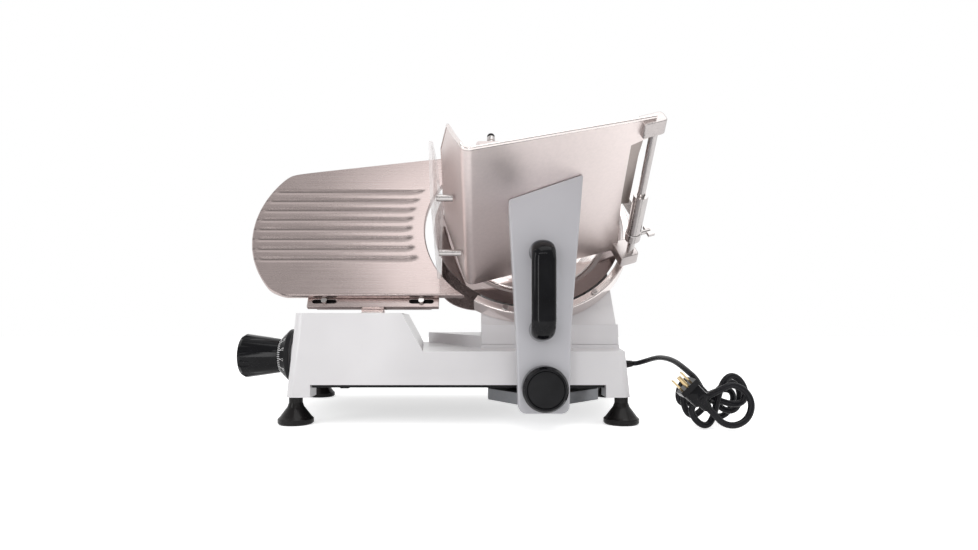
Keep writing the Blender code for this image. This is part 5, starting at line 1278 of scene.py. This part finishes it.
@dataclass
class Carriage:
    """The arm that carries the tray, its handle and lock knob, and the rods it rides on."""

    shop: Workshop
    look: Palette
    grip_thickness: float = 14.0 * MM
    grip_rounding: float = 12.0 * MM
    knob_face: float = 19.0 * MM
    foot_end: float = 12.0 * MM

    def handle(self) -> None:
        """The pull handle: round feet that turn a corner into a flatter grip, along one smooth path."""
        low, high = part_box("arm_handle")
        half = (high.x - low.x) / 2
        middle = (low.x + high.x) / 2
        front = low.y + self.grip_thickness / 2
        turn = self.grip_rounding
        bottom = low.z + half
        top = high.z - half
        angle = np.radians(np.linspace(0.0, 90.0, 14))
        lower = stack(front + turn - turn * np.sin(angle), bottom + turn - turn * np.cos(angle))
        upper = stack(front + turn - turn * np.cos(angle), top - turn + turn * np.sin(angle))
        foot = np.linspace(high.y, front + turn, 10, endpoint=False)
        grip = np.linspace(bottom + turn, top - turn, 26)[1:-1]
        line = np.concatenate((
            stack(foot, bottom), lower, stack(front, grip), upper, stack(foot[::-1], top)))
        path = stack(middle, line[:, 0], line[:, 1])
        share = np.clip((path[:, 1] - front) / (high.y - front), 0.0, 1.0)
        round_share = share ** 0.5
        half_sizes = stack(half, self.grip_thickness / 2 + (half - self.grip_thickness / 2) * round_share)
        power = 2.6 - 0.6 * round_share
        sheet = swept(path, (1.0, 0.0, 0.0), half_sizes, power)
        self.shop.place(mesh_of("pull_handle", [sheet]), self.look.black, "black_plastic", "arm",
                        ["arm_handle"], 70.0)

    def lock(self) -> None:
        """The lock knob: a glossy rounded rim with a matt disc let into its face."""
        low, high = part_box("lock_knob")
        radius = (high.x - low.x) / 2
        middle = ((low.x + high.x) / 2, high.y, (low.z + high.z) / 2)
        depth = high.y - low.y
        frame = Frame.along(middle, (0.0, -1.0, 0.0), (1.0, 0.0, 0.0))
        rim = [
            (0.0, 0.0, 0.0), (radius - 3 * MM, 0.0, 1 * MM), (radius - 1 * MM, 2 * MM, 2 * MM),
            (radius, 6 * MM, 3 * MM), (radius, depth - 5 * MM, 3 * MM), (radius - 2.6 * MM, depth, 2.6 * MM),
            (self.knob_face + 0.6 * MM, depth, 0.8 * MM), (self.knob_face, depth - 1.6 * MM, 0.3 * MM),
            (0.0, depth - 1.6 * MM, 0.0),
        ]
        disc = [
            (0.0, depth - 1.7 * MM, 0.0), (self.knob_face - 0.3 * MM, depth - 1.7 * MM, 0.1 * MM),
            (self.knob_face - 0.3 * MM, depth - 0.9 * MM, 0.5 * MM), (0.0, depth - 0.7 * MM, 0.0),
        ]
        self.shop.place(mesh_of("lock_knob_rim", [lathe(frame, rim, 96)]), self.look.black, "black_plastic",
                        "lock_knob", ["lock_knob"])
        self.shop.place(mesh_of("lock_knob_face", [lathe(frame, disc, 64)]), self.look.satin, "black_plastic",
                        "lock_knob")

    def build(self) -> None:
        """Makes every piece of the carriage."""
        self.shop.eased("carriage_arm", "swing_arm", self.look.arm_paint, "grey_paint", "arm", 2.2 * MM, 4)
        self.handle()
        self.lock()
        foot = self.shop.eased("carriage_foot", "sliding_foot", self.look.dark, "polished_aluminium",
                               "carriage", 1.5 * MM, 3)
        foot.data.materials.append(self.look.satin)
        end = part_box("carriage_foot")[0].x + self.foot_end
        for face in foot.data.polygons:
            if face.center.x < end:
                face.material_index = 1
        self.shop.finish("carriage_slide_rod", self.look.steel)
        self.shop.finish("carriage_guide_bar", self.look.steel)


@dataclass
class Tray:
    """The food tray: a folded sheet with rolled edges, a side flange and the rod's two lugs.

    Its frame runs along the floor, square to the floor, and along the fold.
    """

    shop: Workshop
    look: Palette
    frame: Frame
    rail: Frame
    length: float = 203.0 * MM
    depth: float = 227.0 * MM
    sheet: float = 3.0 * MM
    fold: float = 10.0 * MM
    rim: float = 2.1 * MM
    right_places: tuple[tuple[float, float], ...] = (
        (0.0, 0.0), (104.0, -17.0), (186.0, -24.5), (192.0, -5.0), (227.0, -4.0))
    top_places: tuple[tuple[float, float], ...] = (
        (0.0, 112.0), (98.0, 101.0), (141.0, 97.0), (204.5, 60.6), (227.0, 48.0))
    flange: tuple[float, float] = (0.7 * MM, 2.3 * MM)
    low_lug: tuple[float, float] = (-8.0 * MM, 8.0 * MM)
    high_lug: tuple[float, float] = (189.0 * MM, 206.0 * MM)
    lug_rise: float = 21.2 * MM

    def right(self, out: np.ndarray) -> np.ndarray:
        """How far right the floor reaches at a place along the fold."""
        places = np.array(self.right_places) * MM
        return self.length + np.interp(out, places[:, 0], places[:, 1])

    def top(self, out: np.ndarray) -> np.ndarray:
        """How high the end wall is at a place along the fold."""
        places = np.array(self.top_places) * MM
        return np.interp(out, places[:, 0], places[:, 1])

    def middle(self, share: np.ndarray, along: np.ndarray) -> tuple[np.ndarray, np.ndarray]:
        """The sheet's middle surface and its outward normal.

        The first share runs over the floor from its right edge to the fold, round the fold's quarter circle
        and up the end wall; the second runs out along the fold to an edge that slants a little.

        Args:
            share: the first share, from 0 to 1.
            along: the second share, from 0 to 1.
        Returns:
            Points and normals in the tray's frame.
        """
        radius = self.fold - self.sheet / 2
        floor = np.clip(share / 0.62, 0.0, 1.0)
        turn = np.clip((share - 0.62) / 0.12, 0.0, 1.0) * math.pi / 2
        wall = np.clip((share - 0.74) / 0.26, 0.0, 1.0)
        reach = self.depth - 10 * MM * (1 - floor) - 22.5 * MM * np.maximum(wall, 0.04 * turn)
        out = along * reach
        right = self.right(out)
        across = right + (self.fold - right) * floor - radius * np.sin(turn)
        up = self.sheet / 2 + radius * (1 - np.cos(turn)) + (self.top(out) - self.fold) * wall
        points = stack(across, up, out)
        normals = stack(-np.sin(turn), -np.cos(turn), 0 * out)
        return points, normals

    def pan(self) -> None:
        """The folded sheet, both faces, with a bead rolled along its whole edge."""
        share = np.concatenate((
            np.linspace(0.0, 0.62, 60, endpoint=False), np.linspace(0.62, 0.74, 14, endpoint=False),
            np.linspace(0.74, 1.0, 30)))
        along = np.unique(np.concatenate((np.linspace(0.0, 1.0, 80), (0.82, 0.857, 0.885))))
        grid_share = share[None] + 0 * along[:, None]
        grid_along = along[:, None] + 0 * share[None]
        points, normals = self.middle(grid_share, grid_along)
        outer = self.frame.world(points + normals * self.sheet / 2)
        inner = self.frame.world(points - normals * self.sheet / 2)
        rims = [Sheet(np.stack((outer[0], inner[0]))), Sheet(np.stack((outer[-1], inner[-1]))),
                Sheet(np.stack((outer[:, 0], inner[:, 0]))), Sheet(np.stack((outer[:, -1], inner[:, -1])))]
        mesh = mesh_of("meat_tray", [Sheet(outer), Sheet(inner)] + rims)
        self.shop.place(mesh, self.look.tray, "polished_aluminium", "arm", ["food_tray"], 50.0)
        middle = self.frame.world(points)
        border = np.concatenate((middle[-1, :-1], middle[::-1, -1]))
        bead = tube_along(border, self.rim, 14)
        self.shop.place(mesh_of("tray_rim", [bead]), self.look.ring, "polished_aluminium", "arm", (), 60.0)

    def sides(self) -> None:
        """The flange beside the rod, which lies flat in the floor's plane and is dark with painted shade, and
        the lugs that hold it.
        """
        axes = self.frame.axes
        flat = Frame(self.frame.origin, np.stack((axes[0], axes[2], axes[1])))
        outline = closed_outline([
            (self.length - right * MM, out * MM, 1.5 * MM)
            for right, out in ((34.0, 96.0), (4.6, 90.0), (9.0, 140.0), (11.5, 168.0), (11.5, 191.0),
                               (7.5, 193.0), (7.5, 200.0), (34.0, 200.0))])
        sheet = slab(flat, outline, self.flange[0], self.flange[1], 0.3 * MM)
        # Painted shade: the flat flange gets a dark finish in place of the shading a slant would give it.
        self.shop.place(mesh_of("painted_shade_flange", [sheet]), self.look.dull, "polished_aluminium", "arm")
        for name, left, low, high, span in (
                ("low", -15 * MM, -9 * MM, self.lug_rise, self.low_lug),
                ("high", -16 * MM, -8 * MM, 8 * MM, self.high_lug)):
            outline = closed_outline([(left, low, 2 * MM), (9 * MM, low, 5 * MM), (9 * MM, high, 5 * MM),
                                      (left, high, 2 * MM)], 6)
            lug = slab(self.rail, outline, span[0], span[1], 1.2 * MM)
            self.shop.place(mesh_of(f"rod_lug_{name}", [lug]), self.look.cast, "polished_aluminium", "arm")

    def build(self) -> None:
        """Makes every piece of the tray."""
        self.pan()
        self.sides()


@dataclass
class Guard:
    """The clear guard outside the tray's end wall, on its two studs with their screw heads."""

    shop: Workshop
    look: Palette
    frame: Frame
    face: float = -112.4 * MM
    thickness: float = 4.0 * MM
    outline: tuple[tuple[float, float, float], ...] = (
        (14.0, -98.0, 8.0), (150.0, -86.0, 20.0), (180.0, -62.0, 8.0), (197.0, -47.0, 4.0),
        (190.0, -40.0, 4.0), (128.0, -8.0, 30.0), (14.0, 6.0, 12.0))

    def build(self) -> None:
        """Makes the sheet with rounded corners, and dresses its studs."""
        corners = [(out * MM, up * MM, round_by * MM) for out, up, round_by in self.outline]
        axes = self.frame.axes
        side = Frame(self.frame.origin, np.stack((axes[2], axes[1], -axes[0])))
        outline = closed_outline(corners, 10)
        sheet = slab(side, outline, -self.face, -self.face + self.thickness, 1.2 * MM)
        self.shop.place(mesh_of("clear_guard", [sheet]), self.look.clear, "clear_plastic", "arm",
                        ["finger_guard"])
        for place in ("high", "low"):
            self.shop.eased(f"guard_spacer_{place}", f"guard_stud_{place}", self.look.steel, "machined_steel",
                            "arm", 0.4 * MM, 2)


@dataclass
class Pusher:
    """The pusher on its rod: a sleeve, a collar with a wing screw, an arm, a toothed plate and a knob."""

    shop: Workshop
    look: Palette

    def build(self) -> None:
        """Makes every piece of the pusher."""
        self.shop.finish("pusher_rod", self.look.steel)
        self.shop.eased("pusher_collar", "rod_collar", self.look.steel, "machined_steel", "pusher_collar",
                        0.6 * MM, 2)
        self.shop.eased("wing_screw", "rod_wing_screw", self.look.steel, "machined_steel", "wing_screw",
                        0.5 * MM, 2)
        self.shop.eased("pusher_arm", "pusher_bracket", self.look.steel, "polished_aluminium", "pusher",
                        0.8 * MM, 3)
        self.shop.eased("pusher_plate", "meat_pusher", self.look.plate, "polished_aluminium", "pusher",
                        0.8 * MM, 3)
        self.shop.eased("pusher_grip", "pusher_knob", self.look.black, "black_plastic", "pusher",
                        1.5 * MM, 3)


@dataclass
class Sharpener:
    """The sharpener on top of the ring with its pin, stones and buttons."""

    shop: Workshop
    look: Palette
    frame: Frame
    pin_place: Triple = (-47.0 * MM, 166.8 * MM, -12.0 * MM)

    def pin(self) -> None:
        """The thumb pin: a polished sleeve and a black cap let into its top."""
        frame = Frame.along(self.frame.world(np.array(self.pin_place)), self.frame.axes[1],
                            self.frame.axes[0])
        sleeve = [(0.0, 0.0, 0.0), (5.0 * MM, 0.0, 0.2 * MM), (5.0 * MM, 3 * MM, 0.3 * MM),
                  (6.2 * MM, 3.4 * MM, 0.4 * MM), (6.2 * MM, 11 * MM, 0.7 * MM), (0.0, 11 * MM, 0.0)]
        cap = [(0.0, 11.1 * MM, 0.0), (5.6 * MM, 11.1 * MM, 0.4 * MM), (5.9 * MM, 15 * MM, 1.2 * MM),
               (5.0 * MM, 16.9 * MM, 1.0 * MM), (0.0, 17 * MM, 0.0)]
        self.shop.place(mesh_of("sharpener_thumb_screw", [lathe(frame, sleeve, 48)]), self.look.steel,
                        "machined_steel", "sharpener_pin", ["sharpener_pin"])
        self.shop.place(mesh_of("thumb_screw_cap", [lathe(frame, cap, 48)]), self.look.black,
                        "black_plastic", "sharpener_pin")

    def build(self) -> None:
        """Makes every piece of the sharpener."""
        self.shop.eased("sharpener_cover", "sharpener_hood", self.look.tray, "polished_aluminium",
                        "sharpener", 2.0 * MM, 4)
        self.shop.eased("sharpener_mount", "sharpener_seat", self.look.cast, "polished_aluminium", "base",
                        0.8 * MM, 2)
        self.pin()
        self.shop.eased("grinding_button", "grinding_push_button", self.look.black, "black_plastic",
                        "grinding_button", 0.8 * MM, 2)
        self.shop.eased("truing_button", "truing_push_button", self.look.black, "black_plastic",
                        "truing_button", 0.8 * MM, 2)
        self.shop.finish("grinding_stone", self.look.stone)
        self.shop.finish("truing_stone", self.look.stone)


@dataclass
class MainsCord:
    """The cord from its relief to the folded hank, and the plug on its end.

    The lead's points and the hank's numbers are those of the CAD cord, in metres.
    """

    shop: Workshop
    look: Palette
    bench: Triple
    radius: float = 3.5 * MM
    hank_tie: tuple[float, float] = (283.0 * MM, 38.0 * MM)
    hank_start: float = -108.0 * MM
    reach: float = 33.0 * MM
    half_width: float = 15.0 * MM
    pitch: float = 8.3 * MM
    lobes: float = 5.75
    first_angle: float = -30.0
    last_angle: float = 42.0
    turn_centre: tuple[float, float] = (292.0 * MM, 34.0 * MM)
    turn_radius: float = 21.0 * MM
    turn_end: float = -142.0
    clearance: float = 0.3 * MM
    plug_length: float = 34.5 * MM
    lead: tuple[Triple, ...] = (
        (243.71, 58.34, 54.82), (250.60, 57.36, 55.57), (259.44, 42.52, 60.33), (263.29, 25.14, 64.10),
        (266.09, 7.34, 66.54), (268.00, -10.75, 67.17), (269.43, -28.88, 66.59), (270.79, -46.91, 64.58),
        (271.95, -64.72, 61.02), (273.81, -82.10, 56.02), (276.68, -98.74, 49.23), (280.69, -107.57, 38.23),
    )

    @staticmethod
    def smooth(points: np.ndarray, steps: int) -> np.ndarray:
        """A curve through points: each span is the cubic whose slopes are half its neighbours' spacing.

        Args:
            points: the places it goes through.
            steps: points in each span.
        Returns:
            The curve's points.
        """
        ends = np.concatenate((points[:1] * 2 - points[1:2], points, points[-1:] * 2 - points[-2:-1]))
        share = (np.arange(steps) / steps)[None, :, None]
        a, b, c, d = (ends[i:len(ends) - 3 + i, None, :] for i in range(4))
        spans = 0.5 * (2 * b + (c - a) * share + (2 * a - 5 * b + 4 * c - d) * share ** 2
                       + (3 * b - a - 3 * c + d) * share ** 3)
        return np.concatenate((spans.reshape(-1, 3), points[-1:]))

    @staticmethod
    def evened(points: np.ndarray, spacing: float) -> np.ndarray:
        """Places at an even spacing along a line of points."""
        along = np.concatenate(([0.0], np.cumsum(np.linalg.norm(np.diff(points, axis=0), axis=1))))
        wanted = np.linspace(0.0, along[-1], max(2, round(along[-1] / spacing)) + 1)
        return np.stack([np.interp(wanted, along, points[:, i]) for i in range(3)], axis=1)

    def hank(self) -> np.ndarray:
        """The hank: a figure of eight that goes back a pitch each lobe and leans, then a last turn."""
        turn = math.pi * self.lobes * np.linspace(0.0, 1.0, 139)
        along = self.reach * np.sin(turn)
        across = -self.half_width * np.sin(2 * turn)
        lean = np.radians(self.first_angle + (self.last_angle - self.first_angle) * turn / turn[-1])
        eights = stack(self.hank_tie[0] + along * np.cos(lean) - across * np.sin(lean),
                       self.hank_start - self.pitch * turn / math.pi,
                       self.hank_tie[1] + along * np.sin(lean) + across * np.cos(lean))
        share = np.linspace(0.0, 1.0, 19)
        angle = np.radians(90 + (self.turn_end - 90) * share)
        bend = stack(self.turn_centre[0] + self.turn_radius * np.cos(angle),
                     eights[-1, 1] - self.pitch * (0.7 + 0.9 * share),
                     self.turn_centre[1] + self.turn_radius * np.sin(angle))
        ahead = (bend[-1] - bend[-2]) * np.array([1.0, 0.0, 1.0])
        last = bend[-1] + ahead / np.linalg.norm(ahead) * 4 * self.radius
        link = self.smooth(np.stack((eights[-5], eights[-1], bend[0], bend[2])), 5)[5:10]
        route = np.concatenate((eights[:-1], link, bend, last[None]))
        route[:, 2] += self.radius + self.clearance - route[:, 2].min()
        return route

    def route(self) -> np.ndarray:
        """The whole centre line, from the relief's mouth to the plug, in the world."""
        hank = self.hank()
        lead = np.array(self.lead) * MM
        whole = np.concatenate((lead, hank))
        return whole + np.array(self.bench)

    def build(self) -> None:
        """Makes the cord, its relief and its plug."""
        points = self.route()
        fine = self.evened(self.smooth(points, 6), 2.2 * MM)
        mesh = mesh_of("mains_lead", [tube_along(fine, self.radius, 20)])
        lead = self.shop.place(mesh, self.look.cord, "cord_rubber", "base", ["cord_lead", "cord_hank"], 60.0)
        plug = self.shop.eased("plug", "mains_plug", self.look.black, "black_plastic", "base", 0.8 * MM, 3)
        plug.data.materials.append(self.look.brass)
        ahead = (fine[-1] - fine[-4]) / np.linalg.norm(fine[-1] - fine[-4])
        for face in plug.data.polygons:
            if np.dot(np.array(face.center) - fine[-1], ahead) > self.plug_length:
                face.material_index = 1
        self.shop.eased("cord_gland", "cord_relief", self.look.rubber, "cord_rubber", "base", 0.6 * MM, 2)
        spans = np.linalg.norm(np.diff(fine, axis=0), axis=1)
        2 * self.radius
        [tuple(float(value) for value in point) for point in fine]


# The room

@dataclass(frozen=True)
class Lamp:
    """A soft rectangular lamp at a place, turned to face a point; its power is in watts."""

    name: str
    place: Triple
    aim: Triple
    size: tuple[float, float]
    power: float

    def build(self) -> None:
        """Adds the lamp."""
        data = bpy.data.lights.new(self.name, "AREA")
        data.shape = "RECTANGLE"
        data.size, data.size_y = self.size
        data.energy = self.power
        item = bpy.data.objects.new(self.name, data)
        bpy.context.scene.collection.objects.link(item)
        item.location = self.place
        facing = Vector(self.aim) - Vector(self.place)
        item.rotation_euler = facing.to_track_quat("-Z", "Y").to_euler()


LAMPS = (
    Lamp("overhead_box", (0.3, -0.5, 1.5), (0.0, 0.0, 0.2), (1.3, 1.0), 6.0),
    Lamp("left_box", (-1.2, -1.0, 0.7), (0.0, 0.0, 0.15), (0.5, 1.0), 4.2),
    Lamp("right_box", (1.5, -0.6, 0.9), (0.0, 0.0, 0.15), (0.5, 1.0), 1.0),
    Lamp("left_strip", (-0.30, -1.35, 0.30), (0.07, -0.2, 0.15), (0.12, 0.7), 1.2),
    Lamp("low_strip", (0.05, -1.2, 0.85), (0.05, -0.2, 0.15), (0.7, 0.06), 0.7),
)


@dataclass
class Studio:
    """The floor, the pale world, the soft lamps and the camera at the photograph's place."""

    floor_half: float = 3.0
    blade_middle: float = 0.1095
    eye: Triple = (-0.0635, -0.7586, 0.120)
    lens: float = 22.1
    shift: tuple[float, float] = (0.0092, 0.044)
    ambient: float = 0.7
    front_glow: float = 0.5
    fade_from: float = -0.45
    fade_to: float = 0.25

    def floor(self) -> None:
        """A pale floor that shows the object's shadow."""
        half = self.floor_half
        share = np.linspace(-half, half, 3)
        grid = stack(share[:, None], share[None, :], -0.0002)
        mesh = mesh_of("studio_floor", [Sheet(grid)])
        mesh.materials.append(White("floor_white", 0.64).material())
        piece = bpy.data.objects.new("studio_floor", mesh)
        bpy.context.scene.collection.objects.link(piece)

    def world(self) -> None:
        """White where the camera or clear plastic sees it, a soft grey on the rest.

        Metal sees white behind the object, fading to grey over the viewer's side.
        """
        world = bpy.data.worlds.new("studio_world")
        world.use_nodes = True
        tree = world.node_tree
        tree.nodes.clear()
        ray = tree.nodes.new("ShaderNodeLightPath")
        seen = tree.nodes.new("ShaderNodeMath")
        seen.operation = "MAXIMUM"
        tree.links.new(ray.outputs["Is Camera Ray"], seen.inputs[0])
        tree.links.new(ray.outputs["Is Transmission Ray"], seen.inputs[1])
        way = tree.nodes.new("ShaderNodeTexCoord")
        parts = tree.nodes.new("ShaderNodeSeparateXYZ")
        tree.links.new(way.outputs["Generated"], parts.inputs[0])
        fade = tree.nodes.new("ShaderNodeMapRange")
        fade.interpolation_type = "SMOOTHSTEP"
        for place, value in ((1, self.fade_from), (2, self.fade_to), (3, self.front_glow), (4, 1.0)):
            fade.inputs[place].default_value = value
        tree.links.new(parts.outputs["Y"], fade.inputs[0])
        lights = []
        for strength, link in ((self.ambient, None), (1.0, fade), (1.0, None)):
            light = tree.nodes.new("ShaderNodeBackground")
            light.inputs["Color"].default_value = (1.0, 1.0, 1.0, 1.0)
            light.inputs["Strength"].default_value = strength
            if link is not None:
                tree.links.new(link.outputs[0], light.inputs["Strength"])
            lights.append(light)
        body = lights[0].outputs[0]
        for source, light in ((ray.outputs["Is Glossy Ray"], lights[1]), (seen.outputs[0], lights[2])):
            choice = tree.nodes.new("ShaderNodeMixShader")
            tree.links.new(source, choice.inputs[0])
            tree.links.new(body, choice.inputs[1])
            tree.links.new(light.outputs[0], choice.inputs[2])
            body = choice.outputs[0]
        out = tree.nodes.new("ShaderNodeOutputWorld")
        tree.links.new(body, out.inputs["Surface"])
        bpy.context.scene.world = world

    def camera(self) -> None:
        """A level camera in front of the object."""
        data = bpy.data.cameras.new("studio_camera")
        data.lens = self.lens
        data.sensor_width = 36.0
        data.shift_x, data.shift_y = self.shift
        item = bpy.data.objects.new("studio_camera", data)
        item.location = (self.blade_middle + self.eye[0], self.eye[1], self.eye[2])
        item.rotation_euler = (math.radians(90.0), 0.0, 0.0)
        bpy.context.scene.collection.objects.link(item)
        bpy.context.scene.camera = item

    def build(self) -> None:
        """Sets the room up."""
        self.camera()
        self.floor()
        self.world()
        for lamp in LAMPS:
            lamp.build()
        bpy.context.scene.view_settings.view_transform = "Standard"


@dataclass
class Slicer:
    """The whole machine: its classes in the order they are built."""

    shop: Workshop
    look: Palette
    blade_origin: Triple
    lean: float = 30.0
    tray_turn: float = 16.4
    tray_corner: Triple = (-80.0 * MM, -101.0 * MM, 8.0 * MM)
    rod_low: Triple = (208.6 * MM, -19.2 * MM, 10.0 * MM)
    rod_high: Triple = (202.0 * MM, 0.0, 185.0 * MM)

    @staticmethod
    def rod_frame(tray: Frame, start: np.ndarray, end: np.ndarray) -> Frame:
        """The rod's frame: the tray's axes turned the short way until the third lies along the rod.

        Args:
            tray: the tray's frame.
            start: the rod's low place in the world.
            end: its high place.
        Returns:
            The frame.
        """
        aim = Vector(end - start).normalized()
        turn = Vector(tray.axes[2]).rotation_difference(aim)
        axes = np.array([tuple(turn @ Vector(axis)) for axis in tray.axes])
        return Frame(start, axes)

    def build(self) -> None:
        """Builds each sub-assembly."""
        frame = Frame.leaning(self.blade_origin, self.lean)
        bench = (self.blade_origin[0] - 87.9 * MM, self.blade_origin[1] - 5.0 * MM, 0.0)
        MainsCord(self.shop, self.look, bench).build()
        Base(self.shop, self.look).build()
        Tower(self.shop, self.look).build()
        BladeSet(self.shop, self.look, frame).build()
        Gauge(self.shop, self.look, frame).build()
        Dial(self.shop, self.look).build()
        Carriage(self.shop, self.look).build()
        tray = Frame.leaning(self.blade_origin, self.lean, self.tray_turn)
        corner = frame.world(np.array(self.tray_corner))
        tray = Frame(corner, tray.axes)
        start = tray.world(np.array(self.rod_low))
        end = tray.world(np.array(self.rod_high))
        rail = self.rod_frame(tray, start, end)
        Tray(self.shop, self.look, tray, rail).build()
        Guard(self.shop, self.look, frame).build()
        Pusher(self.shop, self.look).build()
        Sharpener(self.shop, self.look, frame).build()


def main() -> None:
    """Loads the frame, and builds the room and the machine."""
    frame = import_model()
    low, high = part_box("slicing_blade")
    blade_origin = ((low.x + high.x) / 2, 49.4 * MM, 243.5 * MM)
    Studio(blade_middle=blade_origin[0]).build()
    look = Palette(blade_origin, Slicer.lean)
    shop = Workshop(frame["nodes"])
    Slicer(shop, look, blade_origin).build()
    log.info("%d pieces made", shop.made)


if __name__ == "__main__":
    main()
